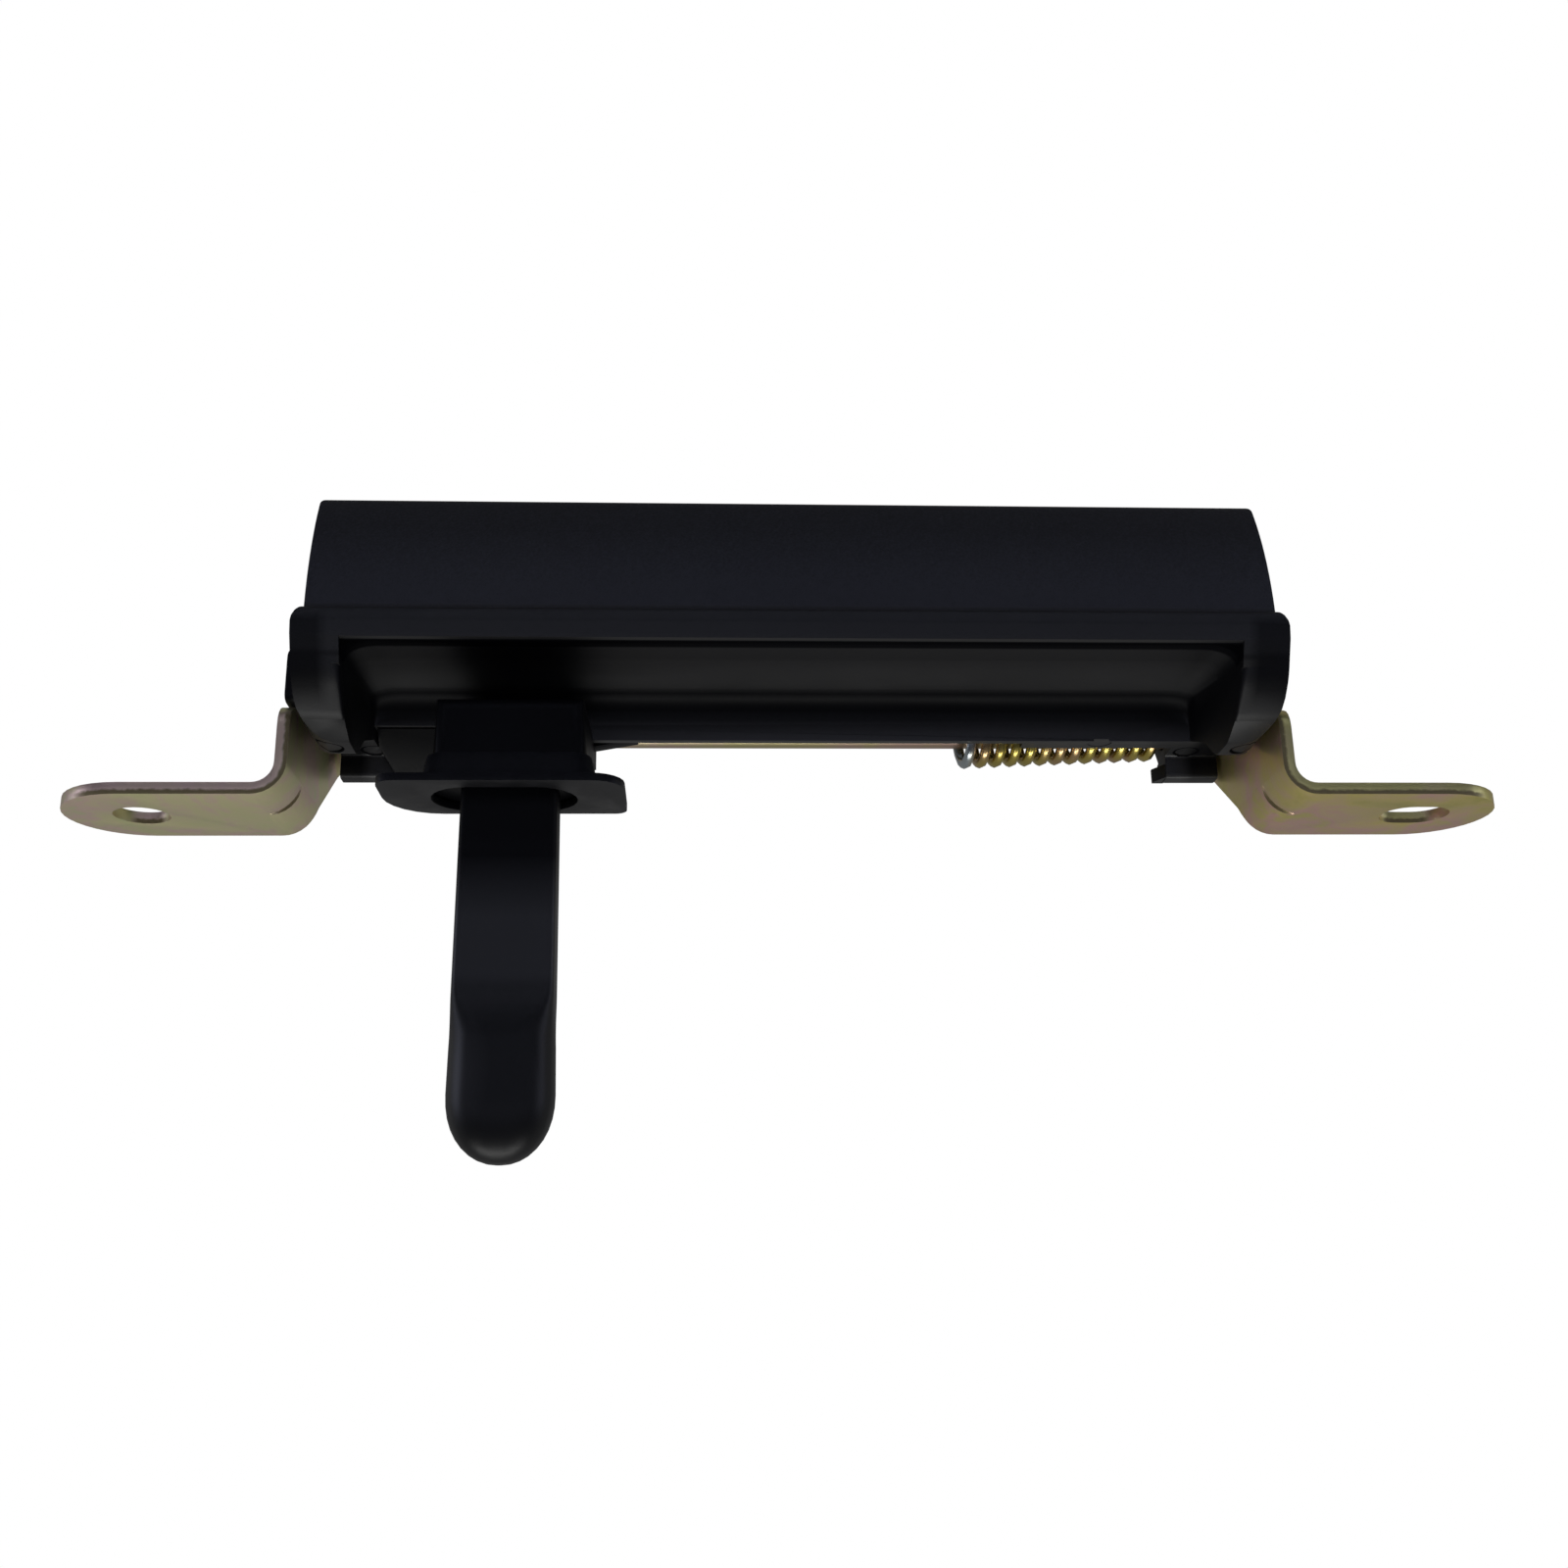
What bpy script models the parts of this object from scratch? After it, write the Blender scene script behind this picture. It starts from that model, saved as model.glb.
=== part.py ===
# Liftgate handle: a black pull handle and its release lever turn together on a rod
# that is carried by a folded steel bracket with two bolt-on ears.
#
# Frame: +X runs along the handle, +Y points away from the body panel that the ears
# are bolted to, +Z points towards the side that the fingers reach in from. The origin
# lies on the panel's face, midway between the two bolt holes. Units are metres.

import math

import bmesh
import bpy
from mathutils import Matrix, Vector

MM = 0.001
GAP = 0.3 * MM
OVERSHOOT = 5 * MM

# Bracket, one folded sheet
SHEET = 2.0 * MM
INNER_SPAN = 164.0 * MM
EAR_WIDTH = 24.0 * MM
EAR_BEND = 3.5 * MM
BOLT_SPACING = 216.0 * MM
BOLT_HOLE = 9.3 * MM
BOLT_SLOT_TRAVEL = 2.6 * MM
EAR_MARGIN_LEFT = 12.7 * MM
EAR_MARGIN_RIGHT = 13.5 * MM
LEG_FRONT_HEIGHT = 16.0 * MM
LEG_CORNER = 4.0 * MM
LEG_BACK_FOOT = 4.3 * MM
LEG_BACK_RISE = 0.74
WEB_FRONT = -28.9 * MM
WEB_BEND = 2.5 * MM
WEB_LOW = 23.3 * MM
WEB_TOP = 44.0 * MM
WEB_CORNER = 3.0 * MM
TOOLING_HOLE = 6.0 * MM
TOOLING_INSET = 30.0 * MM
DART_WIDTH = 1.7 * MM
DART_DEPTH = 1.4 * MM
DART_PLACE = 0.6 * MM

# Pivot
PIVOT_Y = 22.1 * MM
PIVOT_Z = -21.5 * MM
ROD = 5.0 * MM
ROD_HEAD = 8.5 * MM
ROD_HEAD_THICKNESS = 2.0 * MM
ROD_TAIL = 3.2 * MM
GROOVE_DEPTH = 0.6 * MM
CLIP_OUTER = 10.0 * MM
CLIP_THICKNESS = 0.9 * MM
CLIP_MOUTH = 3.6 * MM
BORE_CLEARANCE = GAP

# Pull handle, one moulding
CAP_CLEARANCE = 1.0 * MM
HANDLE_SHIFT = 0.5 * MM
CAP_WIDTH = 7.7 * MM
CAP_CORNER = 5.0 * MM
PANEL_INSET = 1.75 * MM
PANEL_TAPER = 0.1 * MM
PANEL_LOW = 28.3 * MM
PANEL_TOP = 50.9 * MM
PANEL_LOW_Z = 22.0 * MM
PANEL_TOP_Z = 15.8 * MM
PANEL_RADIUS = 52.0 * MM
PANEL_WALL = 2.8 * MM
TOP_DEPTH = 18.0 * MM
TOP_SLOPE = 0.8 * MM
LIP_PROUD = 1.3 * MM
LIP_LOW = 23.0 * MM
LIP_END_RADIUS = 3.2 * MM
ROOF_REAR_HEIGHT = 25.9 * MM
ROOF_FRONT_HEIGHT = 23.5 * MM
ROOF_WALL = 2.8 * MM
SCOOP_BACK = -11.4 * MM
SCOOP_FILLET = 4.0 * MM
SCOOP_END_LENGTH = 5.0 * MM
END_DIP_FRONT = 2.9 * MM
END_DIP_REAR = 1.2 * MM
MOUTH_RADIUS_TOP = 3.0 * MM
MOUTH_RADIUS_LOW = 0.7 * MM
MOUTH_LEAVE = 12
BACK_WALL = 2.8 * MM
BACK_WALL_LOW = 17.6 * MM
FOOT_FLANGE = 5.0 * MM
FOOT_FLANGE_THICKNESS = 1.5 * MM
FOOT_FLANGE_LENGTH = 28.0 * MM
FOOT_STEP = 0.15 * MM
CAP_LOW = 9.9 * MM
CAP_FOOT_FRONT = 9.0 * MM
CAP_FOOT_REAR = 2.5 * MM
RIB = 2.2 * MM
RIB_COUNT = 5
LUG_LENGTH = 10.0 * MM
LUG_FRONT = -20.4 * MM
LUG_LOW = 13.5 * MM
LUG_SKIRT = 1.8 * MM
LUG_HEEL_TOP = 34.4 * MM
HEEL_SETBACK = 1.2 * MM
NOTCH_HEIGHT = 20.1 * MM
NOTCH_DEPTH = 2.2 * MM
EJECTOR_MARK = 4.4 * MM
EJECTOR_DEPTH = 0.25 * MM

# Release lever, one moulding
LEVER_INSET = 36.1 * MM
ARM_WIDTH = 24.8 * MM
ARM_TAPER = 0.6 * MM
ARM_FRONT = 17.0 * MM
ARM_TOP = 15.0 * MM
ARM_DEPTH = 13.0 * MM
ARM_FOOT = 1.0 * MM
ARM_CORNER = 2.6 * MM
HUB_RADIUS = 6.9 * MM
CHEEK_LENGTH = 14.1 * MM
CHEEK_TOP_Z = -12.1 * MM
CHEEK_LOW = 13.6 * MM
CHEEK_LOW_Z = -19.2 * MM
CHEEK_WALL = 1.6 * MM
GUSSET_LENGTH = 7.2 * MM
GUSSET_DEPTH = 3.0 * MM
GUSSET_SETBACK = 0.9 * MM
TAIL_TOP = 27.6 * MM
TAIL_WIDTH = 18.0 * MM
TAIL_DEPTH = 6.0 * MM
STEM_WIDTH = 15.5 * MM
STEM_SPREAD = 0.5 * MM
STEM_THICKNESS = 8.0 * MM
STEM_FRONT = 14.4 * MM
KNOB_START = -30.5 * MM
KNOB_FULL = -41.0 * MM
KNOB_SIDES_DELAY = 4.5 * MM
KNOB_WIDTH = 16.7 * MM
KNOB_THICKNESS = 13.6 * MM
LEVER_TIP = -58.8 * MM
KNOB_END = 10.5 * MM

# Rubber boot on the lever
BOOT_PLATE = 1.3 * MM
BOOT_SQUEEZE = 0.6 * MM
BOOT_REACH_LEFT = 20.6 * MM
BOOT_REACH_RIGHT = 18.6 * MM
BOOT_MARGIN_FRONT = 3.9 * MM
BOOT_MARGIN_REAR = 1.2 * MM
BOOT_CORNER_LEFT = 3.2 * MM
BOOT_CORNER_RIGHT = 5.2 * MM
BOOT_CORNER_REAR = 2.0 * MM
BOOT_CORNER_BIG = 9.0 * MM
BOOT_WALL = 0.8 * MM
COLLAR_HEIGHT = 5.2 * MM
BOOT_SLOT_LENGTH = 23.7 * MM
BOOT_SLOT_WIDTH = 13.0 * MM
BOOT_SLOT_LEAD = 0.4 * MM

# Return spring
WIRE = 2.0 * MM
COIL_MEAN = 9.2 * MM
COIL_PITCH = 2.84 * MM
COIL_TURNS = 12.5
SPRING_TILT = 1.5 * MM
SPRING_LEG_TOP = 35.0 * MM
SPRING_LEG_BEARING = 29.0 * MM
SPRING_LEG_LEAN = 0.4 * MM

# Rubber stop buffer on the left end cap
BUFFER_THICKNESS = 2.6 * MM
BUFFER_TOP = 25.8 * MM
BUFFER_FRONT = 11.4 * MM
BUFFER_DEPTH = 7.4 * MM
BUFFER_STEM = 3.8 * MM
BUFFER_STEM_LENGTH = 5.5 * MM

# Worked out from the above
LEG_X = INNER_SPAN / 2
LEG_OUTER = LEG_X + SHEET
EAR_TIP_LEFT = BOLT_SPACING / 2 + EAR_MARGIN_LEFT
EAR_TIP_RIGHT = BOLT_SPACING / 2 + EAR_MARGIN_RIGHT
EAR_FRONT = EAR_WIDTH / 2
CAP_OUTER = LEG_X - CAP_CLEARANCE
CAP_INNER = CAP_OUTER - CAP_WIDTH
PANEL_HALF = CAP_OUTER - PANEL_INSET
LUG_INNER = CAP_OUTER - LUG_LENGTH
RIB_PITCH = 2 * (PANEL_HALF - PANEL_WALL) / (RIB_COUNT + 1)
LEVER_X = LEVER_INSET - LEG_X
ARM_LEFT = LEVER_X - ARM_WIDTH / 2
ARM_RIGHT = LEVER_X + ARM_WIDTH / 2
BACK_REAR = SCOOP_BACK - BACK_WALL
LIP_Z = PANEL_LOW_Z + LIP_PROUD
BUFFER_CLEAR = GAP


def srgb(red, green, blue):
    """Turns display colours from 0 to 255 into the linear ones that a shader takes."""
    def linear(value):
        value /= 255
        return value / 12.92 if value <= 0.04045 else ((value + 0.055) / 1.055) ** 2.4
    return linear(red), linear(green), linear(blue), 1.0


def material(name, colour, roughness, metallic=0.0):
    made = bpy.data.materials.new(name)
    made.use_nodes = True
    shader = made.node_tree.nodes["Principled BSDF"]
    shader.inputs["Base Color"].default_value = colour
    shader.inputs["Roughness"].default_value = roughness
    shader.inputs["Metallic"].default_value = metallic
    made.diffuse_color = colour
    return made


def add_object(name, bm):
    mesh = bpy.data.meshes.new(name)
    bmesh.ops.recalc_face_normals(bm, faces=bm.faces)
    bm.to_mesh(mesh)
    bm.free()
    made = bpy.data.objects.new(name, mesh)
    bpy.context.collection.objects.link(made)
    return made


def arc(centre, radius, start, end, steps):
    """Points on an arc in a plane, its angles in degrees."""
    points = []
    for i in range(steps + 1):
        angle = math.radians(start + (end - start) * i / steps)
        points.append((centre[0] + radius * math.cos(angle), centre[1] + radius * math.sin(angle)))
    return points


def rounded(corners, steps=5):
    """An outline from (a, b, radius) corners, each corner with a radius drawn as an arc."""
    outline = []
    count = len(corners)
    for i, (a, b, radius) in enumerate(corners):
        here = Vector((a, b))
        if radius <= 0:
            outline.append((a, b))
            continue
        before = (Vector(corners[i - 1][:2]) - here)
        after = (Vector(corners[(i + 1) % count][:2]) - here)
        half = before.angle(after) / 2
        reach = min(radius / math.tan(half), before.length * 0.49, after.length * 0.49)
        radius = reach * math.tan(half)
        middle = (before.normalized() + after.normalized()).normalized()
        centre = here + middle * (radius / math.sin(half))
        first = here + before.normalized() * reach - centre
        last = here + after.normalized() * reach - centre
        turn = first.angle_signed(last)
        for k in range(steps + 1):
            angle = -turn * k / steps
            spoke = Matrix.Rotation(angle, 2) @ first
            outline.append(tuple(centre + spoke))
    return outline


def prism(name, outline, axis, low, high):
    """A closed solid: an outline in the plane across an axis, run from low to high."""
    place = {
        "X": lambda a, b, along: (along, a, b),
        "Y": lambda a, b, along: (a, along, b),
        "Z": lambda a, b, along: (a, b, along),
    }[axis]
    bm = bmesh.new()
    rings = []
    for along in (low, high):
        rings.append([bm.verts.new(place(a, b, along)) for a, b in outline])
    bm.faces.new(rings[0])
    bm.faces.new(rings[1])
    count = len(outline)
    for i in range(count):
        j = (i + 1) % count
        bm.faces.new((rings[0][i], rings[0][j], rings[1][j], rings[1][i]))
    return add_object(name, bm)


def cylinder(name, radius, low, high, y=PIVOT_Y, z=PIVOT_Z, sides=32, end_radius=None):
    """A round bar or cone along X."""
    end_radius = radius if end_radius is None else end_radius
    return loft(name, [
        [(low, y + a, z + b) for a, b in ring(radius, sides)],
        [(high, y + a, z + b) for a, b in ring(end_radius, sides)],
    ])


def ring(radius, sides):
    return arc((0, 0), radius, 0, 360 * (sides - 1) / sides, sides - 1)


def loft(name, sections):
    """A closed solid through sections that have equally many points."""
    bm = bmesh.new()
    rings = [[bm.verts.new(point) for point in section] for section in sections]
    bm.faces.new(rings[0])
    bm.faces.new(rings[-1])
    for near, far in zip(rings, rings[1:]):
        count = len(near)
        for i in range(count):
            j = (i + 1) % count
            bm.faces.new((near[i], near[j], far[j], far[i]))
    return add_object(name, bm)


def apply_modifiers(target):
    """Makes the target's modified shape its own mesh."""
    bpy.context.view_layer.update()
    evaluated = target.evaluated_get(bpy.context.evaluated_depsgraph_get())
    mesh = bpy.data.meshes.new_from_object(evaluated)
    target.modifiers.clear()
    old = target.data
    target.data = mesh
    bpy.data.meshes.remove(old)
    mesh.name = target.name


def combine(target, tool, operation):
    """Applies one Boolean to the target and removes the tool."""
    step = target.modifiers.new(operation.lower(), "BOOLEAN")
    step.operation = operation
    step.solver = "EXACT"
    step.object = tool
    apply_modifiers(target)
    bpy.data.objects.remove(tool)
    return target


def join(target, tool):
    return combine(target, tool, "UNION")


def cut(target, tool):
    return combine(target, tool, "DIFFERENCE")


def keep(target, tool):
    return combine(target, tool, "INTERSECT")


def finish(made, finish_material, origin=(0, 0, 0), smooth=True):
    """Gives an object its material and moves its origin without moving its shape."""
    made.data.materials.clear()
    made.data.materials.append(finish_material)
    made.data.transform(Matrix.Translation(-Vector(origin)))
    made.location = origin
    if smooth:
        made.data.shade_smooth()
        made.data.set_sharp_from_angle(angle=math.radians(32))
    return made


def fold(point, side):
    """Takes a point of the flat blank, in the leg's plane, to its place on the folded sheet."""
    p, q = point
    middle = SHEET / 2
    x, y, z = LEG_X + middle, p, q
    ear_radius = EAR_BEND + middle
    ear_line = SHEET + EAR_BEND
    if p < ear_line:
        run = ear_line - p
        angle = min(run / ear_radius, math.pi / 2)
        rest = run - ear_radius * angle
        x = LEG_OUTER + EAR_BEND - ear_radius * math.cos(angle) + rest
        y = ear_line - ear_radius * math.sin(angle)
    web_radius = WEB_BEND + middle
    web_line = WEB_FRONT + WEB_BEND
    if q < web_line:
        run = web_line - q
        angle = min(run / web_radius, math.pi / 2)
        rest = run - web_radius * angle
        x = LEG_X - WEB_BEND + web_radius * math.cos(angle) - rest
        z = web_line - web_radius * math.sin(angle)
    return side * x, y, z


def blank_place(x):
    """Where on the flat blank a place on the ear lies."""
    ear_radius = EAR_BEND + SHEET / 2
    return SHEET + EAR_BEND - ear_radius * math.pi / 2 - (x - LEG_OUTER - EAR_BEND)


def blank_outline(tip):
    """Half the bracket's flat blank: ear, leg and half the web, as (p, q)."""
    tip_centre = blank_place(tip - EAR_FRONT)
    bend_end = WEB_FRONT + WEB_BEND - (WEB_BEND + SHEET / 2) * math.pi / 2
    web_end = bend_end - (LEG_X - WEB_BEND)
    sweep = buffer_sweep() - 2 * GAP
    outline = arc((tip_centre, 0), EAR_FRONT, 270, 90, 18)
    top = LEG_FRONT_HEIGHT
    outline += arc((top - LEG_CORNER, EAR_FRONT - LEG_CORNER), LEG_CORNER, 90, 0, 5)
    start = math.asin((top - PIVOT_Y) / sweep)
    end = math.asin((WEB_TOP - WEB_CORNER - PIVOT_Y) / sweep)
    for i in range(13):
        angle = start + (end - start) * i / 12
        outline.append((PIVOT_Y + sweep * math.sin(angle), PIVOT_Z + sweep * math.cos(angle)))
    corner_z = PIVOT_Z + sweep * math.cos(end) - WEB_CORNER
    outline += arc((WEB_TOP - WEB_CORNER, corner_z), WEB_CORNER, 60, 0, 3)
    outline.append((WEB_TOP, web_end))
    outline.append((WEB_LOW, web_end))
    foot_q = -EAR_FRONT
    slope_end = bend_end - 2 * MM
    rise = LEG_BACK_FOOT + (foot_q - slope_end) * LEG_BACK_RISE
    corners = [
        (WEB_LOW, slope_end - WEB_CORNER - 3 * MM, 0),
        (WEB_LOW, slope_end - 2 * MM, WEB_CORNER),
        (rise, slope_end, WEB_CORNER),
        (LEG_BACK_FOOT, foot_q, 4 * MM),
        (LEG_BACK_FOOT - 8 * MM, foot_q, 0),
    ]
    outline += rounded(corners)[1:-1]
    return outline


def buffer_sweep():
    """The nearest that the stop buffer's back edge comes to the pivot as it swings."""
    return BUFFER_FRONT - BUFFER_DEPTH - PIVOT_Z


def slot_outline(centre, travel, radius, along_first=True, steps=12):
    """A slot with round ends, or a round hole where its travel is nothing."""
    first = arc((travel / 2, 0), radius, -90, 90, steps)
    last = arc((-travel / 2, 0), radius, 90, 270, steps)
    if travel <= 0:
        first = first[:-1]
        last = last[:-1]
    points = first + last
    if not along_first:
        points = [(-b, a) for a, b in points]
    return [(centre[0] + a, centre[1] + b) for a, b in points]


def bracket_half(side, tip, travel):
    bm = bmesh.new()
    rod_hole = slot_outline((PIVOT_Y, PIVOT_Z), 0, ROD / 2 + BORE_CLEARANCE)
    bolt_hole = slot_outline((blank_place((BOLT_SPACING + travel / 4) / 2), 0), travel, BOLT_HOLE / 2)
    bend_end = WEB_FRONT + WEB_BEND - (WEB_BEND + SHEET / 2) * math.pi / 2
    tooling_q = bend_end - (TOOLING_INSET - WEB_BEND)
    tooling = slot_outline(((WEB_LOW + WEB_TOP) / 2, tooling_q), 0, TOOLING_HOLE / 2, steps=8)
    edges = []
    for outline in (blank_outline(tip), rod_hole, bolt_hole, tooling):
        verts = [bm.verts.new((p, q, 0)) for p, q in outline]
        count = len(verts)
        edges += [bm.edges.new((verts[i], verts[(i + 1) % count])) for i in range(count)]
    bmesh.ops.triangle_fill(bm, use_beauty=True, edges=edges, normal=(0, 0, 1))
    ear_length = (EAR_BEND + SHEET / 2) * math.pi / 2
    web_length = (WEB_BEND + SHEET / 2) * math.pi / 2
    lines = [((SHEET + EAR_BEND - ear_length * i / 8, 0, 0), (1, 0, 0)) for i in range(9)]
    lines += [((0, WEB_FRONT + WEB_BEND - web_length * i / 7, 0), (0, 1, 0)) for i in range(8)]
    for place, normal in lines:
        everything = bm.verts[:] + bm.edges[:] + bm.faces[:]
        bmesh.ops.bisect_plane(bm, geom=everything, plane_co=place, plane_no=normal, dist=1e-7)
    for vert in bm.verts:
        vert.co = fold((vert.co.x, vert.co.y), side)
    return bm


def dart(side, inside):
    """The gusset dart of an ear's bend: the ridge inside the bend, or the groove outside it."""
    root = SHEET + EAR_BEND
    centre = Vector((side * (LEG_OUTER + EAR_BEND), root))
    diagonal = Vector((-side, -1)).normalized()
    along = Vector((side, -1)).normalized()
    if inside:
        half = 3.0 * MM
        near = root - SHEET / 2
        far = EAR_BEND - DART_DEPTH + 0.5 * MM
        width = DART_WIDTH / 2 + 0.9 * MM
    else:
        half = 7.0 * MM
        near = root + 1.5 * MM
        far = root - DART_DEPTH
        width = DART_WIDTH / 2
    section = arc((0, 0), 1, 0, 180, 8)
    rings = []
    for step in (-half, half):
        points = []
        for a, b in section:
            flat = centre + diagonal * (near + (far - near) * b) + along * step
            points.append((flat.x, flat.y, DART_PLACE + a * width))
        rings.append(points)
    return loft("dart", rings)


def mounting_bracket(finish_material):
    left = bracket_half(-1, EAR_TIP_LEFT, 0)
    right = bracket_half(1, EAR_TIP_RIGHT, BOLT_SLOT_TRAVEL)
    spare = bpy.data.meshes.new("half")
    right.to_mesh(spare)
    left.from_mesh(spare)
    right.free()
    bpy.data.meshes.remove(spare)
    bmesh.ops.remove_doubles(left, verts=left.verts, dist=1e-6)
    made = add_object("mounting_bracket", left)
    solid = made.modifiers.new("thickness", "SOLIDIFY")
    solid.thickness = SHEET
    solid.offset = 0
    solid.use_even_offset = True
    apply_modifiers(made)
    for side in (-1, 1):
        join(made, dart(side, True))
        cut(made, dart(side, False))
    return finish(made, finish_material)


def panel_arc(inset, steps=10):
    """The grained panel's face from its lower to its upper edge, or a line inset from it."""
    low = Vector((PANEL_LOW, PANEL_LOW_Z))
    top = Vector((PANEL_TOP, PANEL_TOP_Z))
    chord = top - low
    middle = (low + top) / 2
    inward = Vector((-chord.y, chord.x)).normalized()
    if inward.y > 0:
        inward = -inward
    centre = middle + inward * math.sqrt(PANEL_RADIUS ** 2 - (chord.length / 2) ** 2)
    start = math.atan2(low.y - centre.y, low.x - centre.x)
    end = math.atan2(top.y - centre.y, top.x - centre.x)
    radius = PANEL_RADIUS - inset
    points = []
    for i in range(steps + 1):
        angle = start + (end - start) * i / steps
        points.append((centre.x + radius * math.cos(angle), centre.y + radius * math.sin(angle)))
    return points


def lip_outline():
    """The lip's front, from the crease under the panel down to the lip's lower edge."""
    return [
        (PANEL_LOW, PANEL_LOW_Z - 0.4 * MM, 0),
        (PANEL_LOW - 0.2 * MM, LIP_Z - 0.3 * MM, 0.9 * MM),
        (PANEL_LOW - 2.6 * MM, LIP_Z, 2.0 * MM),
    ]


def lower_outline():
    """The lip, the end caps and the back wall in section, front side first."""
    return rounded(lip_outline() + [
        (LIP_LOW + 0.4 * MM, LIP_Z - 0.4 * MM, 3.0 * MM),
        (LIP_LOW - 5.6 * MM, LIP_Z - 3.2 * MM, 10.0 * MM),
        (CAP_LOW + 2.5 * MM, CAP_FOOT_FRONT + 5.9 * MM, 5.0 * MM),
        (CAP_LOW, CAP_FOOT_FRONT, 3.0 * MM),
        (CAP_LOW, CAP_FOOT_REAR, 3.0 * MM),
        (BACK_WALL_LOW - 3.2 * MM, CAP_FOOT_REAR - 5.7 * MM, 6.0 * MM),
        (BACK_WALL_LOW, SCOOP_BACK - 0.4 * MM, 0),
        (BACK_WALL_LOW, BACK_REAR, 1.9 * MM),
        (PANEL_LOW, BACK_REAR, 0),
    ])


def lower_body():
    """The lip, the end caps and the back wall as one bar, before the scoop is cut from it."""
    bar = prism("lower_body", lower_outline(), "X", -CAP_OUTER, CAP_OUTER)
    end = CAP_OUTER + OVERSHOOT
    front = rounded([
        (-CAP_OUTER, PANEL_LOW + GAP, LIP_END_RADIUS),
        (-CAP_OUTER, CAP_LOW, CAP_CORNER),
        (CAP_OUTER, CAP_LOW, CAP_CORNER),
        (CAP_OUTER, PANEL_LOW + GAP, LIP_END_RADIUS),
    ])
    return keep(bar, prism("front_view", front, "Z", BACK_REAR - end, LIP_Z + end))


def upper_body():
    """The grained panel with its top and ends, before the ribbed back is cut from it."""
    rear = PANEL_TOP_Z - TOP_DEPTH
    face = [(a, b, 0) for a, b in panel_arc(0)[:-1]]
    corners = [(LIP_LOW + 3 * MM, PANEL_LOW_Z - 2 * MM, 0)] + face + [
        (PANEL_TOP, PANEL_TOP_Z, 2.2 * MM),
        (PANEL_TOP - TOP_SLOPE, rear, 0.6 * MM),
        (PANEL_LOW + ROOF_WALL, BACK_REAR, 0.6 * MM),
        (LIP_LOW + 3 * MM, BACK_REAR, 0),
    ]
    bar = prism("upper_body", rounded(corners), "X", -PANEL_HALF, PANEL_HALF)
    low_half = PANEL_HALF
    top_half = PANEL_HALF - PANEL_TAPER
    front = rounded([
        (-top_half, PANEL_TOP, 1.5 * MM),
        (-low_half, LIP_LOW, 0),
        (low_half, LIP_LOW, 0),
        (top_half, PANEL_TOP, 1.5 * MM),
    ])
    return keep(bar, prism("front_view", front, "Z", BACK_REAR - OVERSHOOT, LIP_Z + OVERSHOOT))


def scoop_section(dip):
    """The scoop across the handle, its roof brought down by a share of its dip at the ends."""
    front = LIP_Z + OVERSHOOT
    groove = LIP_Z - 2.4 * MM
    shelf = LIP_LOW + 1.3 * MM * (1 - 0.85 * dip)
    fall = END_DIP_FRONT * dip
    middle = (ROOF_FRONT_HEIGHT + ROOF_REAR_HEIGHT) / 2
    corners = [
        (LIP_LOW, front, 0),
        (LIP_LOW, groove, 0.3 * MM),
        (shelf, groove - 0.4 * MM, 0.3 * MM),
        (shelf - 0.2 * MM * dip, groove - 1.2 * MM, 0.3 * MM),
        (ROOF_FRONT_HEIGHT - fall, groove - 1.9 * MM, 0.6 * MM),
        (middle - fall - 0.7 * MM, SCOOP_BACK / 2 + groove / 2 + 4 * MM, 8.0 * MM),
        (ROOF_REAR_HEIGHT - END_DIP_REAR * dip, SCOOP_BACK, SCOOP_FILLET),
        (CAP_LOW - OVERSHOOT, SCOOP_BACK, 0),
        (CAP_LOW - OVERSHOOT, front, 0),
    ]
    return rounded(corners, 6)


def scoop_cutter():
    """The finger scoop: a roof that the fingers pull on, a drip groove and a back wall."""
    steps = 6
    stations = []
    for i in range(steps + 1):
        angle = math.pi / 2 * i / steps
        stations.append((CAP_INNER - SCOOP_END_LENGTH * (1 - math.cos(angle)), 1 - math.sin(angle)))
    stations += [(-x, dip) for x, dip in reversed(stations)]
    return loft("scoop", [[(x, y, z) for y, z in scoop_section(dip)] for x, dip in stations])


def mouth_rounding(side):
    """What is taken off the scoop's front edge at an end cap, most of it under the lip."""
    sections = []
    reach = 2 * GAP
    leave = math.radians(MOUTH_LEAVE)
    for y, front in lower_outline():
        if front < CAP_FOOT_FRONT or not CAP_LOW + GAP < y < LIP_LOW - GAP:
            continue
        share = (y - CAP_LOW) / (LIP_LOW - CAP_LOW)
        radius = MOUTH_RADIUS_LOW + (MOUTH_RADIUS_TOP - MOUTH_RADIUS_LOW) * share ** 3
        edge = [(CAP_INNER - reach, front + reach), (CAP_INNER - reach, front - radius)]
        edge += arc((CAP_INNER + radius, front - radius), radius, 180, 90 + MOUTH_LEAVE, 6)
        rise = reach + radius * (1 - math.cos(leave))
        edge.append((edge[-1][0] + rise / math.tan(leave), front + reach))
        sections.append([(side * x, y, z) for x, z in edge])
    return loft("mouth", sections)


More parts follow.
